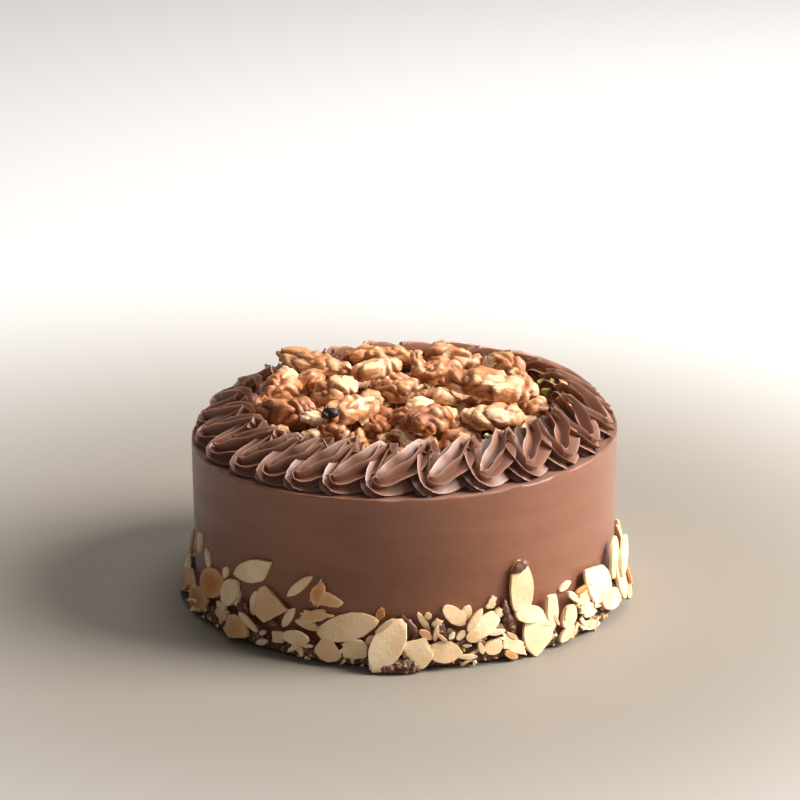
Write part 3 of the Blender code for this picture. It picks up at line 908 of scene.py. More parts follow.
# %% A tree that scatters pieces over a surface
scatter, given, result = tree_with(
    "scatter_pieces",
    [("Shapes", "NodeSocketCollection", None), ("Spacing", FLOAT, 0.008), ("Density", FLOAT, 50000.0),
     ("Smallest", FLOAT, 0.7), ("Largest", FLOAT, 1.1), ("Lean", FLOAT, 0.4), ("Raise", FLOAT, 0.0),
     ("Seed", "NodeSocketInt", 1), ("Palest", FLOAT, 0.1), ("Darkest", FLOAT, 0.8),
     ("Finish", "NodeSocketMaterial", None)],
)


def random_between(low, high, salt, kind="FLOAT"):
    """A random number for each point, from low to high; salt keeps the uses apart."""
    suffix = {"FLOAT": "_001", "FLOAT_VECTOR": "", "INT": "_002"}[kind]
    node = place_node(scatter, "FunctionNodeRandomValue", {"data_type": kind})
    for label, value in (("Min" + suffix, low), ("Max" + suffix, high)):
        socket = next(s for s in node.inputs if s.identifier == label)
        if isinstance(value, bpy.types.NodeSocket):
            join(scatter, value, socket)
        else:
            socket.default_value = value
    seed = place_node(scatter, "ShaderNodeMath", {"operation": "ADD"})
    join(scatter, given["Seed"], seed.inputs[0])
    seed.inputs[1].default_value = salt
    join(scatter, seed.outputs[0], node.inputs["Seed"])
    return next(s for s in node.outputs if s.enabled)


points = place_node(
    scatter, "GeometryNodeDistributePointsOnFaces", {"distribute_method": "POISSON"},
    Mesh=given["Geometry"], Distance_Min=given["Spacing"], Density_Max=given["Density"], Seed=given["Seed"],
    Density_Factor=stored_value(scatter, "cover"),
)
turns = random_between((-1.0, -1.0, -math.pi), (1.0, 1.0, math.pi), 11, "FLOAT_VECTOR")
split = place_node(scatter, "ShaderNodeSeparateXYZ", Vector=turns)
leaning = [number(scatter, "MULTIPLY", split.outputs[k], given["Lean"]) for k in (0, 1)]
euler = place_node(scatter, "ShaderNodeCombineXYZ", X=leaning[0], Y=leaning[1], Z=split.outputs[2])
as_turn = place_node(scatter, "FunctionNodeEulerToRotation", Euler=euler.outputs[0])
turned = place_node(
    scatter, "FunctionNodeRotateRotation", {"rotation_space": "LOCAL"},
    Rotation=points.outputs["Rotation"], Rotate_By=as_turn.outputs[0],
)
lifted = place_node(
    scatter, "ShaderNodeVectorMath", {"operation": "SCALE"}, Vector=points.outputs["Normal"], Scale=given["Raise"]
)
raised = place_node(scatter, "GeometryNodeSetPosition", Geometry=points.outputs["Points"], Offset=lifted.outputs[0])
shapes = place_node(
    scatter, "GeometryNodeCollectionInfo", Collection=given["Shapes"], Separate_Children=True, Reset_Children=True
)
scale = random_between(given["Smallest"], given["Largest"], 23)
index = random_between(0, 1000, 37, "INT")
laid = place_node(
    scatter, "GeometryNodeInstanceOnPoints", Points=raised.outputs[0], Instance=shapes.outputs[0],
    Pick_Instance=True, Instance_Index=index, Rotation=turned.outputs[0], Scale=scale,
)
tone = random_between(given["Palest"], given["Darkest"], 51)
toned = place_node(
    scatter, "GeometryNodeStoreNamedAttribute", {"data_type": "FLOAT", "domain": "INSTANCE"},
    Geometry=laid.outputs[0], Name="toast", Value=tone,
)
real = place_node(scatter, "GeometryNodeRealizeInstances", Geometry=toned.outputs[0])
dressed = place_node(scatter, "GeometryNodeSetMaterial", Geometry=real.outputs[0], Material=given["Finish"])
join(scatter, dressed.outputs[0], result["Geometry"])
print("scatter_pieces has", len(scatter.nodes), "nodes")


def shape_box(name, meshes):
    """A collection of shapes for the tree to pick from. It isn't linked to the scene."""
    box = bpy.data.collections.new(name)
    for mesh in meshes:
        box.objects.link(bpy.data.objects.new(mesh.name, mesh))
    return box


def emptied(box):
    """Removes the shapes once they have been scattered."""
    for shape in list(box.objects):
        bpy.data.objects.remove(shape)
    bpy.data.collections.remove(box)


# %% [markdown]
# The dome itself is cream with nut dust, hidden but for a few gaps, and painted very dark: partly
# its own colour, partly painted shade in those gaps. Its edge falls to the cake's top inside the
# border. `cover` is 1 where pieces may lie and 0 where they may not.

# %% The bed of the heap
HEAP_EDGE = 52.0


def dome_mesh(name, rise, edge, rings=16, around=72):
    """A low lumpy dome on the cake's top, closed underneath."""
    bm = bmesh.new()
    rows = []
    for k in range(1, rings + 1):
        share = k / rings
        row = []
        for i in range(around):
            angle = math.tau * i / around
            radius = share * edge
            x, y = radius * math.cos(angle), radius * math.sin(angle)
            lump = 1.0 + 0.35 * noise.noise(Vector((x / 9, y / 9, 1.0)))
            z = top_height(x, y) + rise * lump * (1 - share**3) - 0.6 * share
            row.append(bm.verts.new((x * MM, y * MM, z * MM)))
        rows.append(row)
    peak = bm.verts.new((0, 0, (top_height(0, 0) + rise) * MM))
    for i in range(around):
        j = (i + 1) % around
        bm.faces.new((peak, rows[0][i], rows[0][j]))
        for inner, outer in zip(rows, rows[1:]):
            bm.faces.new((inner[i], outer[i], outer[j], inner[j]))
    bm.faces.new(list(reversed(rows[-1])))
    mesh = finished(bm, name)
    store(mesh, "cover", [float(vertex.co.z / MM > top_height(0, 0) - 6) for vertex in mesh.vertices])
    return mesh


bed = Recipe("nut_dust_bed", 0.6)
dust = bed.group(patches, "Mask", Scale=500.0, Low=0.4, High=0.6)
# Painted shade: the bed is painted far darker than the icing, as the shade deep in the gaps between the nuts; the
# paler patches are nut dust.
colour = bed.blend(dust, (0.06, 0.024, 0.013), (0.18, 0.08, 0.036))
relief = bed.group(fine_relief, "Normal", Scale=600.0, Depth=0.0006)
nut_dust_bed = bed.finish(colour, None, relief)
dome = dome_mesh("walnut_bed", 5.0, HEAP_EDGE)
add_piece("walnut_bed", dome, nut_dust_bed, "walnut", "walnut_heap")

# %% [markdown]
# The smaller pieces are quarters, ends and chips. Eight shapes are enough, because turn and size
# hide the repeats.

# %% The smaller walnut pieces
SMALL = (
    ((13, 8.5, 7), (((1, 0.2, 0.3), 4.0),)),
    ((11, 9, 7), (((0.2, 1, 0.5), 2.6),)),
    ((14, 7.5, 6.5), ()),
    ((10, 8, 7.5), (((-0.4, 0.3, 1), 2.4),)),
    ((12, 10, 7), (((0, 0.4, 1), 2.2), ((1, -0.5, 0), 4.2))),
    ((9, 7.5, 6.5), ()),
    ((15, 8, 7), (((-1, 0, 0.4), 5.0), ((0.2, -1, 0.4), 2.8))),
    ((8, 7, 5.5), (((0.5, 0.5, 1), 1.8),)),
)
chips = [
    kernel_mesh(f"chip_{k}", size, 31 + k, breaks, 1.5, 0.4, 0.0, 4, 4.6)
    for k, (size, breaks) in enumerate(SMALL)
]
box = shape_box("walnut_chips", chips)
pieces = grow(
    "walnut_pieces", dome.copy(), scatter, Shapes=box, Spacing=6.7 * MM, Density=60000.0, Smallest=0.65,
    Largest=1.1, Lean=0.8, Raise=1.8 * MM, Seed=4, Palest=0.0, Darkest=0.9, Finish=walnut_kernel,
)
emptied(box)
pieces.shade_smooth()
add_piece("walnut_pieces", pieces, walnut_kernel, "walnut")

# %% [markdown]
# A sliced almond is a thin leaf: pointed at one end, round at the other. Here its outline is a
# curve of half-widths along its length, and rings of points fill it. The faces are slightly
# uneven and the leaf is a little bent. Pieces break with straight edges, so as with the walnuts,
# points beyond a break are pushed back onto its line. A jagged outline makes a splintered piece.
#
# Each point keeps `outwards`: 0 in the middle of the leaf and 1 at its rim.

# %% Almond leaves
def leaf_mesh(name, length, width, thick, seed, breaks=(), jagged=0.0, around=32, rings=(0.45, 0.8, 0.965)):
    """A leaf in the XY plane, its narrow end towards +X. A break is (angle, distance in mm)."""
    shift = Vector((11.3, 3.7, 8.1)) * seed
    planes = [(Vector((math.cos(math.radians(a)), math.sin(math.radians(a)), 0.0)), d) for a, d in breaks]
    bm = bmesh.new()
    shares_out = []

    def point(share, i, side):
        angle = math.tau * i / around
        x = -math.cos(angle)
        s = (x + 1) / 2
        half = max(0.0, 1 - x * x) ** (0.5 + 0.25 * s)
        y = half if math.sin(angle) >= 0 else -half
        rough = 1.0 + jagged * noise.noise(Vector((math.cos(angle), math.sin(angle), 0.5)) * 3.2 + shift)
        p = Vector((x * length / 2, y * width / 2, 0.0)) * share * rough
        for direction, distance in planes:
            over = p.dot(direction) - distance - 0.3 * noise.noise(p / 1.5 + shift)
            if over > 0:
                p -= direction * over * 0.98
        swell = 1.0 - 0.1 * share**3
        uneven = 0.10 * noise.noise(p / 3 + shift)
        p.z = side * (thick / 2 * swell + uneven)
        p.z += -0.010 * p.x**2 * bend_x + 0.02 * p.x * p.y * twist
        return p * MM

    bend_x = 0.6 + 0.8 * noise.noise(shift)
    twist = noise.noise(shift * 1.7)
    shares = (*rings, 1.0)
    rows = {}
    for side in (1, -1):
        for k, share in enumerate(shares):
            inset = 0.0 if k < len(shares) - 1 else -0.3
            row = [bm.verts.new(point(share, i, side * (1.0 + inset))) for i in range(around)]
            shares_out += [share] * around
            rows[side, k] = row
        rows[side, "middle"] = bm.verts.new(point(0.0, 0, side))
        shares_out.append(0.0)
    for side in (1, -1):
        for i in range(around):
            j = (i + 1) % around
            corner = (rows[side, "middle"], rows[side, 0][i], rows[side, 0][j])
            bm.faces.new(corner if side < 0 else tuple(reversed(corner)))
            for k in range(len(shares) - 1):
                a, b = rows[side, k], rows[side, k + 1]
                quad = (a[i], b[i], b[j], a[j])
                bm.faces.new(quad if side < 0 else tuple(reversed(quad)))
    last = len(shares) - 1
    for i in range(around):
        j = (i + 1) % around
        bm.faces.new((rows[1, last][i], rows[1, last][j], rows[-1, last][j], rows[-1, last][i]))
    bmesh.ops.recalc_face_normals(bm, faces=bm.faces)
    mesh = finished(bm, name)
    store(mesh, "outwards", shares_out)
    mesh.set_sharp_from_angle(angle=math.radians(32))
    return mesh


def above_table(mesh):
    """Lifts the points that would lie below the table."""
    for vertex in mesh.vertices:
        vertex.co.z = max(vertex.co.z, 0.1 * MM)
    return mesh


def against_side(mesh, azimuth, z, out, turn, lean):
    """Stands a flat piece against the cake's side, with its foot leaned outwards by `lean`."""
    place = spot(azimuth, CAKE_RADIUS + out, z) * MM
    upright = Matrix.Rotation(math.radians(90 - lean), 4, "X")
    around = Matrix.Rotation(math.radians(azimuth), 4, "Z")
    mesh.transform(Matrix.Translation(place) @ around @ upright @ Matrix.Rotation(math.radians(turn), 4, "Z"))
    return above_table(mesh)


# %% [markdown]
# Sliced almond is cream white, with a faint lengthwise grain. Toasting turns its middle orange
# brown before its edge. Darker pieces keep a line of brown skin along the rim.

# %% Almond colours
nut = Recipe("almond_slice", 0.5, 0.12)
toast = nut.stored("toast")
outwards = nut.stored("outwards")
stains = nut.group(patches, "Mask", Scale=120.0, Low=0.35, High=0.65)
grain = nut.group(patches, "Mask", Scale=900.0, Low=0.45, High=0.7)
colour = nut.blend(stains, (0.95, 0.78, 0.54), (0.90, 0.65, 0.39))
colour = nut.blend(number(nut.tree, "MULTIPLY", toast, 1.05, clamp=True), colour, (0.78, 0.42, 0.155))
heart = number(nut.tree, "SUBTRACT", 1.15, number(nut.tree, "POWER", outwards, 1.6), clamp=True)
strong = number(nut.tree, "MULTIPLY_ADD", toast, 2.4, -0.9, clamp=True)
colour = nut.blend(number(nut.tree, "MULTIPLY", heart, strong), colour, (0.58, 0.19, 0.035))
colour = nut.blend(number(nut.tree, "MULTIPLY", grain, 0.16), colour, (0.60, 0.40, 0.20))
edge = number(nut.tree, "MULTIPLY_ADD", outwards, 12.0, -11.2, clamp=True)
skin = number(nut.tree, "MULTIPLY", number(nut.tree, "MULTIPLY", edge, toast), 0.6)
colour = nut.blend(skin, colour, (0.34, 0.13, 0.045))
relief = nut.group(fine_relief, "Normal", Scale=800.0, Depth=0.00015)
almond_slice = nut.finish(colour, None, relief)

# %% [markdown]
# The almonds at the front are one row each: kind, azimuth, height of the middle, length, width,
# turn of the point, distance from the side, lean of the foot, and toast. Most places, sizes and
# turns began as pixels read off the photo by eye, which a scratch script made millimetres with a
# camera fitted to the photo. The rest was set one by one. Those higher up were pressed on last, so
# they overlap the ones below. A few rows name their breaks. Thin splinters fill the chinks between
# them at random.

# %% The almonds at the front
FRONT = (
    ("slice", -92.5, 5.0, 16.0, 8.0, -12, 3.6, 12, 0.30),
    ("broken", -87.5, 7.5, 13.0, 9.0, 24, 2.4, 8, 0.15, ((180, 5.0),)),
    ("slice", -82.5, 6.5, 18.0, 9.0, 12, 3.6, 12, 0.60),
    ("slice", -77.0, 8.5, 14.0, 7.5, -16, 2.0, 6, 0.45),
    ("slice", -61.3, 16.0, 21.0, 11.5, 16, 3.0, 8, 0.85),
    ("slice", -68.7, 6.0, 21.0, 10.0, 17, 2.6, 8, 0.75),
    ("slice", -65.4, 23.5, 7.5, 4.0, 115, 1.5, 0, 0.15),
    ("slice", -71.5, 27.0, 9.0, 4.5, 80, 1.6, 0, 0.20),
    ("slice", -54.9, 23.0, 5.7, 3.1, 63, 1.2, 0, 0.20),
    ("slice", -52.0, 16.9, 12.7, 9.0, 54, 3.2, 10, 0.15),
    ("jagged", -54.2, 8.3, 8.5, 7.3, 107, 2.6, 0, 0.30),
    ("slice", -49.8, 15.7, 7.5, 4.2, 76, 2.0, 0, 0.20),
    ("broken", -46.9, 5.8, 14.0, 9.4, -5, 4.2, 18, 0.62, ((170, 5.0), (-70, 3.6))),
    ("slice", -42.8, 9.7, 10.8, 2.9, -29, 3.6, 0, 0.25),
    ("broken", -42.7, 28.6, 23.5, 8.4, -160, 1.4, 0, 0.05, ((135, 5.2),)),
    ("slice", -42.4, 16.4, 10.5, 4.6, 78, 2.0, 0, 0.10),
    ("broken", -36.2, 18.0, 19.0, 14.0, -2, 3.4, 14, 0.48, ((60, 3.8), (-50, 4.4), (180, 6.4))),
    ("slice", -31.2, 14.6, 9.3, 3.4, 60, 4.4, 6, 0.05),
    ("broken", -33.7, 6.8, 7.0, 5.6, 11, 3.6, 10, 0.40, ((0, 2.4), (180, 2.4), (90, 2.1), (-90, 2.1))),
    ("slice", -38.9, 6.5, 3.4, 1.8, 27, 3.4, 0, 0.10),
    ("slice", -38.0, 3.8, 5.8, 2.2, 19, 3.8, 0, 0.10),
    ("slice", -28.2, 27.2, 14.1, 3.6, -137, 1.6, 0, 0.25),
    ("jagged", -22.5, 26.3, 10.1, 5.6, 75, 2.6, 6, 0.70),
    ("broken", -20.1, 23.8, 12.0, 6.4, -1, 1.8, 6, 0.55, ((-90, 1.9), (60, 3.0))),
    ("jagged", -23.8, 17.2, 11.6, 4.8, 12, 3.0, 10, 0.50),
    ("slice", -25.6, 13.0, 11.1, 3.1, -9, 4.2, 12, 0.40),
    ("slice", -27.9, 8.6, 11.2, 5.4, 0, 3.4, 8, 0.20),
    ("slice", -26.3, 4.0, 4.0, 2.0, -74, 4.0, 0, 0.10),
    ("slice", -14.4, 14.9, 23.4, 9.8, 17, 4.0, 16, 0.32),
    ("broken", -19.1, 6.2, 11.0, 8.5, -25, 3.8, 10, 0.42, ((170, 4.2), (60, 3.4))),
    ("broken", -12.3, 7.1, 11.5, 8.0, 4, 3.2, 8, 0.15, ((0, 4.4), (180, 4.4), (-90, 3.0))),
    ("slice", -8.3, 11.4, 4.1, 2.9, 33, 3.2, 0, 0.50),
    ("jagged", -6.1, 20.5, 4.5, 3.2, 81, 1.6, 0, 0.95),
    ("slice", -4.8, 17.2, 8.9, 2.2, 40, 3.6, 0, 0.10),
    ("slice", -4.2, 10.1, 21.8, 11.6, -118, 5.0, 20, 0.12),
    ("broken", 3.3, 8.0, 13.5, 11.0, -76, 4.4, 14, 0.05, ((180, 4.0), (100, 4.4), (-70, 4.0))),
    ("broken", 9.9, 6.9, 13.0, 8.2, -7, 4.0, 12, 0.30, ((180, 5.0), (-60, 4.2))),
    ("slice", 5.0, 17.0, 9.4, 2.3, -60, 3.2, 0, 0.10),
    ("jagged", 6.1, 19.6, 2.7, 2.4, -2, 2.2, 0, 0.20),
    ("jagged", 8.1, 17.6, 4.2, 2.8, 18, 2.4, 0, 0.30),
    ("slice", 7.8, 14.2, 6.0, 2.0, 80, 3.4, 0, 0.15),
    ("slice", 5.3, 13.5, 5.9, 2.9, -37, 3.0, 0, 0.50),
    ("slice", 12.7, 19.5, 10.6, 5.8, -43, 3.4, 14, 0.30),
    ("slice", 15.8, 19.6, 6.4, 4.3, 59, 2.0, 0, 0.05),
    ("slice", 17.6, 17.9, 9.7, 3.3, 53, 3.4, 6, 0.05),
    ("broken", 20.6, 15.3, 14.5, 7.0, 33, 3.0, 16, 0.02, ((180, 5.8), (0, 5.6))),
    ("slice", 17.0, 12.0, 5.5, 4.7, 15, 3.8, 10, 0.45),
    ("jagged", 23.1, 23.4, 3.4, 3.0, 57, 1.6, 0, 0.10),
    ("jagged", 22.8, 21.3, 3.8, 2.4, 2, 1.8, 0, 0.10),
    ("jagged", 24.4, 19.0, 3.7, 2.4, -52, 2.0, 0, 0.10),
    ("slice", 23.4, 12.2, 6.9, 2.4, 2, 3.6, 0, 0.15),
    ("slice", 14.0, 12.7, 4.3, 2.7, 49, 3.4, 0, 0.10),
    ("slice", 19.0, 7.2, 5.1, 2.2, -71, 4.4, 0, 0.10),
    ("slice", 15.7, 4.4, 7.1, 1.8, -5, 4.2, 0, 0.10),
    ("broken", 22.6, 7.0, 8.0, 6.2, 13, 3.8, 8, 0.38, ((0, 3.0), (90, 2.4))),
    ("jagged", 28.0, 6.0, 12.9, 5.6, -39, 4.0, 10, 0.05),
    ("slice", 27.0, 2.8, 6.4, 2.9, -31, 4.6, 0, 0.65),
    ("broken", 31.0, 25.5, 22.6, 9.8, -90, 4.0, 4, 0.28, ((0, 9.0),)),
    ("slice", 32.8, 16.4, 12.6, 6.7, -10, 3.4, 12, 0.10),
    ("broken", 35.0, 8.2, 18.5, 13.0, -88, 3.8, 10, 0.22, ((180, 6.6), (35, 6.0))),
    ("broken", 40.0, 15.4, 16.0, 5.4, -90, 3.2, 4, 0.00, ((180, 5.6),)),
    ("slice", 46.9, 21.1, 6.8, 2.7, 15, 1.6, 0, 0.05),
    ("slice", 48.2, 17.2, 7.1, 2.7, -40, 2.4, 0, 0.05),
    ("slice", 52.3, 18.7, 9.8, 1.9, 2, 3.0, 0, 0.90),
    ("jagged", 53.0, 14.7, 11.1, 5.8, 6, 2.4, 0, 0.10),
    ("broken", 60.0, 16.6, 25.0, 15.0, -50, 2.8, 8, 0.00, ((-40, 6.8), (130, 6.6))),
    ("slice", 46.1, 10.5, 9.5, 7.6, 46, 3.2, 8, 0.35),
    ("slice", 44.7, 4.6, 9.0, 4.4, 27, 4.2, 6, 0.35),
    ("jagged", 54.3, 9.5, 10.0, 6.6, -15, 3.0, 6, 0.10),
    ("slice", 54.8, 3.2, 14.0, 3.6, -14, 3.6, 4, 0.15),
    ("slice", 70.0, 22.0, 16.0, 9.0, 70, 3.0, 4, 0.10),
    ("slice", 76.0, 20.0, 18.0, 10.0, 40, 4.6, 6, 0.10),
    ("slice", 73.0, 11.0, 17.0, 9.0, 115, 4.8, 8, 0.15),
    ("slice", 66.0, 8.0, 18.0, 8.0, -10, 4.4, 10, 0.20),
)

leaves = []
for k, (kind, azimuth, z, length, width, turn, out, lean, toast_level, *more) in enumerate(FRONT):
    thick = 1.5 if width > 4 else 1.2
    breaks = more[0] if more else ()
    leaf = leaf_mesh(f"leaf_{k}", length, width, thick, k + 1, breaks, 0.55 if kind == "jagged" else 0.06)
    leaves.append(against_side(toasted(leaf, toast_level), azimuth, z, out, turn, lean))
SPLINTERS = 44
chance = random.Random(17)
for k in range(SPLINTERS):
    size = (chance.uniform(2.6, 6.4), chance.uniform(1.1, 2.0), 0.9)
    splinter = leaf_mesh(f"splinter_{k}", *size, 300 + k, (), 0.4, 16)
    azimuth, z = chance.uniform(-30, 58), 2.0 + 11.0 * chance.random() ** 1.4
    leaves.append(against_side(toasted(splinter, chance.uniform(0.0, 0.7)), azimuth, z, 3.9, chance.uniform(-70, 70), 8))
front_almonds = merged("almond_slices_front", leaves)
add_piece("almond_slices_front", front_almonds, almond_slice, "almond")

# %% [markdown]
# Under and between the slices the foot of the cake is a ragged bead of cream full of nut crumbs,
# painted dark: partly the cream's own colour, partly painted shade between the slices.
# It's a ring of noisy height that stays inside the band of the imported model and stands for it.

# %% The bead of cream and crumbs at the foot
def bead_mesh(name, around=540):
    bm = bmesh.new()
    rows = []
    for i in range(around):
        azimuth = 360.0 * i / around
        p = spot(azimuth, 1.0, 0.0)
        wave = noise.noise(p * 6.0) + 0.6 * noise.noise(p * 17.0)
        crag = noise.noise(p * 60.0)
        tall = 7.0 + 3.0 * wave + 1.2 * crag
        wide = 3.2 + 0.9 * noise.noise(p * 24.0 + Vector((5, 0, 0)))
        section = ((-0.8, 0.15), (wide - 1.8, 0.15), (wide, 2.2), (wide * 0.85, tall * 0.5),
                   (wide * 0.5, tall * 0.85), (0.5, tall), (-0.8, tall - 0.4))
        row = []
        for k, (out, z) in enumerate(section):
            rough = 0.0 if k in (0, 1, 6) else 0.7 * noise.noise(p * 80.0 + Vector((0, 0, z * 0.7)))
            row.append(bm.verts.new(spot(azimuth, CAKE_RADIUS - 0.4 + out + rough, z + 0.5 * rough) * MM))
        rows.append(row)
    for i in range(around):
        a, b = rows[i], rows[(i + 1) % around]
        for k in range(len(a)):
            m = (k + 1) % len(a)
            bm.faces.new((a[k], b[k], b[m], a[m]))
    bmesh.ops.recalc_face_normals(bm, faces=bm.faces)
    return finished(bm, name)


crumbed = Recipe("crumbed_cream", 0.6, 0.05)
flecks = crumbed.group(patches, "Mask", Scale=650.0, Low=0.56, High=0.62)
shade = crumbed.group(patches, "Mask", Scale=160.0, Low=0.4, High=0.6)
# Partly the crumbed cream's own colour, partly painted shade between the slices: both colours are dark; the blobs and
# the lump share them.
colour = crumbed.blend(shade, (0.10, 0.042, 0.026), (0.19, 0.085, 0.054))
colour = crumbed.blend(number(crumbed.tree, "MULTIPLY", flecks, 0.55), colour, (0.55, 0.35, 0.21))
relief = crumbed.group(fine_relief, "Normal", Scale=700.0, Depth=0.0009)
crumbed_cream = crumbed.finish(colour, None, relief)
add_piece("almond_bead", bead_mesh("almond_bead"), crumbed_cream, "almond", "almond_band")

# %% [markdown]
# The rest of the foot carries slices and chopped almonds at random. The same tree as before
# scatters them, over a wall that isn't part of the cake: a skirt just outside the bead. Its
# `cover` is 1 where many pieces lie and falls with height, so the upper edge thins out. Slices
# aren't scattered at the front, where each has its own row, and stay low just behind its left end.

# %% Slices and chopped almonds round the foot
def skirt_mesh(name, lowest, highest, radius_low, radius_high, cover, around=180, rows=6):
    bm = bmesh.new()
    grid, values = [], []
    for k in range(rows + 1):
        share = k / rows
        z = lowest + (highest - lowest) * share
        radius = radius_low + (radius_high - radius_low) * share
        grid.append([bm.verts.new(spot(360.0 * i / around, radius, z) * MM) for i in range(around)])
        values += [cover(360.0 * i / around, share) for i in range(around)]
    walled(bm, grid)
    mesh = finished(bm, name, smooth=False)
    store(mesh, "cover", values)
    return mesh


def nib_mesh(name, size, seed):
    """A chopped bit: the hull of a few points, with its edges blunted."""
    chance = random.Random(seed)
    bm = bmesh.new()
    for _ in range(9):
        d = Vector([chance.gauss(0, 1) for _ in range(3)]).normalized()
        bm.verts.new(Vector((d.x * size[0], d.y * size[1], d.z * size[2])) * MM / 2)
    hull = bmesh.ops.convex_hull(bm, input=bm.verts)
    bmesh.ops.delete(bm, geom=[v for v in hull["geom_interior"] if isinstance(v, bmesh.types.BMVert)], context="VERTS")
    bmesh.ops.dissolve_degenerate(bm, edges=bm.edges, dist=0.1 * MM)
    bmesh.ops.bevel(bm, geom=bm.edges, offset=0.16 * MM, segments=1, affect="EDGES")
    bmesh.ops.recalc_face_normals(bm, faces=bm.faces)
    mesh = finished(bm, name, smooth=False)
    store(mesh, "outwards", [0.6] * len(mesh.vertices))
    return mesh


def away_from_front(azimuth, share):
    azimuth = (azimuth + 180) % 360 - 180
    low_edge = -122 < azimuth < -92
    return float((azimuth < -92 or azimuth > 78) and not (low_edge and share > 0.35))


def thinning(azimuth, share):
    p = spot(azimuth, 1.0, 0.0)
    sparse = 0.55 * math.exp(-((((azimuth + 180) % 360 - 130) / 26) ** 2))
    return max(0.0, min(1.0, 1.15 - sparse - share + 0.8 * noise.noise(p * 9.0)))


shapes_of_leaf = [
    leaf_mesh("slice_a", 21, 10.5, 1.4, 71, (), 0.06, 20, (0.5, 0.9)),
    leaf_mesh("slice_b", 19, 9.5, 1.3, 72, ((170, 5.0),), 0.06, 20, (0.5, 0.9)),
    leaf_mesh("slice_c", 17, 9.0, 1.4, 73, ((30, 4.0),), 0.1, 20, (0.5, 0.9)),
    leaf_mesh("slice_d", 13, 7.0, 1.3, 74, (), 0.5, 20, (0.5, 0.9)),
    leaf_mesh("slice_e", 12, 3.4, 1.2, 75, (), 0.1, 20, (0.5, 0.9)),
]
box = shape_box("almond_leaves", shapes_of_leaf)
skirt = skirt_mesh("leaf_skirt", 5.0, 17.0, 85.0, 82.6, away_from_front)
round_almonds = grow(
    "almond_slices_round", skirt, scatter, Shapes=box, Spacing=7.5 * MM, Density=60000.0, Smallest=0.75,
    Largest=1.05, Lean=0.22, Raise=0.0, Seed=7, Palest=0.0, Darkest=0.8, Finish=almond_slice,
)
emptied(box)
above_table(round_almonds)
round_almonds.shade_smooth()
add_piece("almond_slices_round", round_almonds, almond_slice, "almond")

NIB_SIZES = ((3.4, 2.6, 2.0), (2.6, 2.2, 1.8), (4.4, 2.2, 1.6), (2.0, 1.6, 1.4), (5.4, 1.8, 1.5), (3.0, 2.8, 1.6))
box = shape_box("almond_nibs", [nib_mesh(f"nib_{k}", size, 80 + k) for k, size in enumerate(NIB_SIZES)])
skirt = skirt_mesh("nib_skirt", 1.4, 16.0, 84.0, 80.6, thinning)
nibs = grow(
    "chopped_almonds", skirt, scatter, Shapes=box, Spacing=2.6 * MM, Density=160000.0, Smallest=0.7,
    Largest=1.25, Lean=1.4, Raise=0.0, Seed=9, Palest=0.0, Darkest=0.7, Finish=almond_slice,
)
emptied(box)
above_table(nibs)
add_piece("chopped_almonds", nibs, almond_slice, "almond")

# %% [markdown]
# Cream was smeared up while the nuts were pressed on. Each smear is a short crooked rope of cream
# through a few places: azimuth, distance from the side and height. A rough lump of it, full of
# crumbs, was pressed out at the foot in front.

# %% Smears and the lump of cream
def rope_mesh(name, places, girths, seed, around=14, fine=6):
    """A closed crooked rope through the places, its girths given there in mm."""
    bm = bmesh.new()
    count = (len(places) - 1) * fine
    rows = []
    for i in range(count + 1):
        u = min(i / fine, len(places) - 1 - 1e-6)
        k, t = int(u), u - int(u)
        t = t * t * (3 - 2 * t)
        azimuth, out, z = [a + (b - a) * t for a, b in zip(places[k], places[k + 1])]
        girth_here = girths[k] + (girths[k + 1] - girths[k]) * t
        girth_here *= math.sqrt(max(0.03, 1 - (2 * i / count - 1) ** 6))
        middle = spot(azimuth, CAKE_RADIUS + out, z)
        tangent, up, away = spot(azimuth + 90, 1.0, 0.0), Vector((0, 0, 1)), spot(azimuth, 1.0, 0.0)
        following = spot(places[k + 1][0], CAKE_RADIUS + places[k + 1][1], places[k + 1][2])
        before = spot(places[k][0], CAKE_RADIUS + places[k][1], places[k][2])
        along = (following - before).normalized()
        side = along.cross(away).normalized()
        row = []
        for j in range(around):
            angle = math.tau * j / around
            ray = side * math.cos(angle) + side.cross(along) * math.sin(angle) * 0.8
            rough = 1 + 0.7 * noise.noise((middle + ray) / 1.8 + Vector((seed * 7.1, 0, 0)))
            row.append(bm.verts.new((middle + ray * girth_here * rough) * MM))
        rows.append(row)
    for a, b in zip(rows, rows[1:]):
        for j in range(around):
            m = (j + 1) % around
            bm.faces.new((a[j], b[j], b[m], a[m]))
    bm.faces.new(rows[0])
    bm.faces.new(list(reversed(rows[-1])))
    bmesh.ops.recalc_face_normals(bm, faces=bm.faces)
    return finished(bm, name)


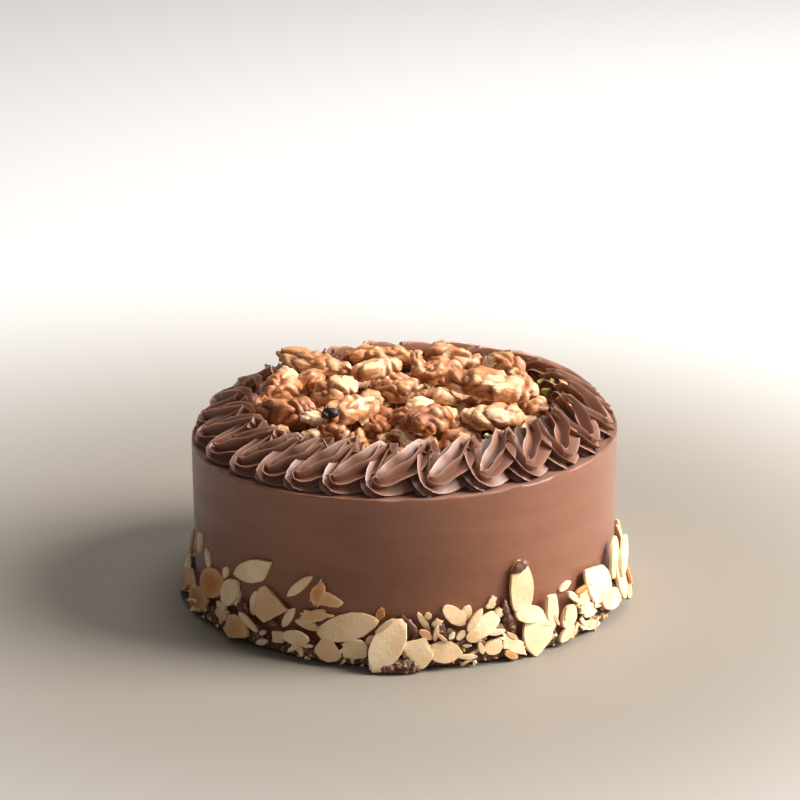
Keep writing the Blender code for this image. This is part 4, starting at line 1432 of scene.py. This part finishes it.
SMEARS = (
    (((-1.0, 3.6, 19.6), (1.0, 5.4, 18.2), (2.8, 5.8, 14.6), (3.0, 5.6, 10.4)), (0.8, 1.1, 1.0, 0.8)),
    (((28.6, 3.4, 32.0), (29.8, 4.4, 34.2), (31.6, 4.6, 35.4), (33.0, 4.0, 34.4)), (1.2, 1.9, 2.0, 0.9)),
)
BLOBS = (
    # azimuth, height, length, width, thickness, turn
    (26.4, 20.0, 6.5, 2.2, 2.4, 100),
    (27.6, 13.6, 8.0, 4.6, 4.4, 110),
    (24.4, 13.0, 6.0, 3.4, 4.0, -30),
    (11.4, 12.6, 7.5, 4.4, 4.0, -30),
    (9.0, 15.4, 4.5, 2.6, 2.8, 60),
    (14.6, 9.4, 6.0, 3.6, 5.0, 0),
    (19.2, 9.6, 5.0, 3.0, 5.0, 20),
    (-46.0, 13.6, 5.0, 3.8, 3.6, -40),
    (-24.0, 4.6, 7.0, 3.4, 6.0, -25),
    (-36.0, 11.0, 4.0, 2.6, 3.0, 10),
    (57.2, 10.6, 5.5, 3.6, 4.0, -30),
    (50.0, 14.0, 4.0, 2.6, 3.0, 40),
)
ropes = [rope_mesh(f"smear_{k}", places, girths, k + 1) for k, (places, girths) in enumerate(SMEARS)]
smears = merged("cream_smears", ropes)
# With `crest` 0 all over, the smears take the cream's painted groove shade everywhere and no painted ridge highlight.
store(smears, "crest", [0.0] * len(smears.vertices))
ragged = []
for k, (azimuth, z, length, width, thick, turn) in enumerate(BLOBS):
    blob = kernel_mesh(f"blob_{k}", (length, width, thick), 200 + k, (), 0.9, 0.0, 0.0, 4, 2.0)
    ragged.append(against_side(blob, azimuth, z, 1.6, turn, 0))
add_piece("cream_blobs", merged("cream_blobs", ragged), crumbed_cream, "piped_cream")
add_piece("cream_smears", smears, piped_cream, "piped_cream")

lump = kernel_mesh("rough_lump", (17, 6.5, 5.6), 9, (), 1.2, 0.0, 0.0, 5, 2.6)
above_table(posed(lump, middle_of("cream_lump"), 4))
add_piece("rough_lump", lump, crumbed_cream, "piped_cream", "cream_lump")

# %% [markdown]
# A few green pistachio bits lie at the right of the heap, and some nut crumbs have fallen on the
# cream. Each bit is dropped from above onto whatever is below it: a ray finds the height.

# %% Pistachio bits and crumbs
from mathutils.bvhtree import BVHTree


def surface_of(*names):
    """A search tree over the faces of the named pieces, in metres."""
    points, faces = [], []
    for name in names:
        mesh = bpy.data.objects[name].data
        start = len(points)
        points += [vertex.co.copy() for vertex in mesh.vertices]
        faces += [[start + i for i in polygon.vertices] for polygon in mesh.polygons]
    return BVHTree.FromPolygons(points, faces)


def dropped(mesh, under, x, y, turn, sink=0.3):
    """Lays the mesh on the surface below (x, y), sunk in by a little."""
    place, normal, _, _ = under.ray_cast(Vector((x, y, 120)) * MM, Vector((0, 0, -1)))
    lowest = min(vertex.co.z for vertex in mesh.vertices)
    lie = normal.to_track_quat("Z", "Y").to_matrix().to_4x4()
    spin = Matrix.Rotation(math.radians(turn), 4, "Z")
    rest = Matrix.Translation((0, 0, -lowest * (1 - sink)))
    mesh.transform(Matrix.Translation(place) @ lie @ spin @ rest)
    return mesh


top = surface_of("walnut_bed", "walnut_pieces", "walnut_loose", "piped_border", "iced_body")
PISTACHIO = (
    # x, y, size, turn
    (53.6, 13.4, (5.6, 4.4, 3.6), 20),
    (56.2, 13.2, (4.0, 3.0, 2.6), 75),
    (52.4, 17.5, (4.6, 3.2, 2.8), -30),
    (51.4, 25.0, (4.0, 3.0, 2.6), 10),
    (54.5, 10.0, (2.8, 2.2, 1.8), 50),
    (29.8, -47.0, (3.4, 2.4, 2.0), -15),
)
bits = [
    dropped(nib_mesh(f"green_{k}", size, 120 + k), top, x, y, turn)
    for k, (x, y, size, turn) in enumerate(PISTACHIO)
]
green = Recipe("pistachio_kernel", 0.5, 0.1)
shade = green.group(patches, "Mask", Scale=380.0, Low=0.42, High=0.58)
colour = green.blend(shade, (0.22, 0.30, 0.03), (0.52, 0.50, 0.12))
relief = green.group(fine_relief, "Normal", Scale=900.0, Depth=0.0003)
add_piece("pistachio_bits", merged("pistachio_bits", bits), green.finish(colour, None, relief), "pistachio")

CRUMBS = (
    # x, y, size, turn, toast
    (53.5, 22.5, (4.6, 3.6, 3.0), 40, 0.1),
    (58.8, 3.5, (4.8, 3.8, 3.2), 10, 0.2),
    (59.4, 12.0, (2.8, 2.2, 1.8), 50, 0.2),
    (66, 24, (2.8, 2.2, 1.8), 0, 0.2),
    (64, 27, (1.6, 1.2, 1.0), 30, 0.3),
    (-42, -46, (2.4, 1.8, 1.4), 20, 0.1),
    (-38, -45, (1.8, 1.2, 1.0), 60, 0.2),
    (3, -52, (1.6, 1.2, 1.0), 20, 0.3),
    (34, -47, (2.2, 1.6, 1.2), -30, 0.1),
    (-14, -50, (1.4, 1.2, 1.0), 0, 0.2),
    (61, -17, (1.8, 1.4, 1.0), 0, 0.4),
)
bits = [
    toasted(dropped(nib_mesh(f"crumb_{k}", size, 140 + k), top, x, y, turn), level_of_toast)
    for k, (x, y, size, turn, level_of_toast) in enumerate(CRUMBS)
]
for bit in bits:
    store(bit, "flesh", [0.8] * len(bit.vertices))
    store(bit, "crease", [0.0] * len(bit.vertices))
add_piece("nut_crumbs", merged("nut_crumbs", bits), walnut_kernel, "walnut")

# %% [markdown]
# Slices and bits were placed a little way off the side, and on a real cake each one is pressed on.
# So the loose pieces that don't touch the cake are taken in turn, the smallest gap first. One that
# cuts into a piece already in place is carried by it and stays. Any other is moved inwards by its
# gap, and can then carry the next.

# %% Press the almonds on
def loose_pieces(mesh):
    """The vertex numbers of each connected piece of the mesh, with its faces."""
    parent = list(range(len(mesh.vertices)))

    def root(i):
        while parent[i] != i:
            parent[i] = parent[parent[i]]
            i = parent[i]
        return i

    for edge in mesh.edges:
        parent[root(edge.vertices[0])] = root(edge.vertices[1])
    found = {}
    for i in range(len(parent)):
        found.setdefault(root(i), ([], []))[0].append(i)
    for polygon in mesh.polygons:
        found[root(polygon.vertices[0])][1].append(tuple(polygon.vertices))
    return list(found.values())


def piece_tree(mesh, piece):
    numbers = {v: k for k, v in enumerate(piece[0])}
    points = [mesh.vertices[v].co.copy() for v in piece[0]]
    return BVHTree.FromPolygons(points, [[numbers[v] for v in face] for face in piece[1]]), points


side = surface_of("iced_body", "almond_bead", "rough_lump")
TOUCH = 0.3 * MM  # a piece this close counts as touching
PRESSED_IN = 0.15 * MM
rows = []
for name in ("almond_slices_front", "almond_slices_round", "chopped_almonds", "cream_blobs", "cream_smears"):
    mesh = bpy.data.objects[name].data
    for piece in loose_pieces(mesh):
        tree, points = piece_tree(mesh, piece)
        gap = 0.0 if side.overlap(tree) else min(side.find_nearest(p)[3] for p in points)
        middle = sum(points, Vector()) / len(points)
        reach = max((p - middle).length for p in points)
        rows.append({"mesh": mesh, "piece": piece, "tree": tree, "gap": gap, "middle": middle, "reach": reach})
held = [row for row in rows if row["gap"] < TOUCH]
waiting = sorted((row for row in rows if row["gap"] >= TOUCH), key=lambda row: row["gap"])
pressed = 0
for row in waiting:
    near = [h for h in held if (h["middle"] - row["middle"]).length < h["reach"] + row["reach"]]
    if not any(h["tree"].overlap(row["tree"]) for h in near):
        inwards = Vector((-row["middle"].x, -row["middle"].y, 0)).normalized() * (row["gap"] + PRESSED_IN)
        for v in row["piece"][0]:
            row["mesh"].vertices[v].co += inwards
        row["tree"], _ = piece_tree(row["mesh"], row["piece"])
        pressed += 1
    held.append(row)
print(f"{pressed} of {len(rows)} pieces at the foot were pressed on")
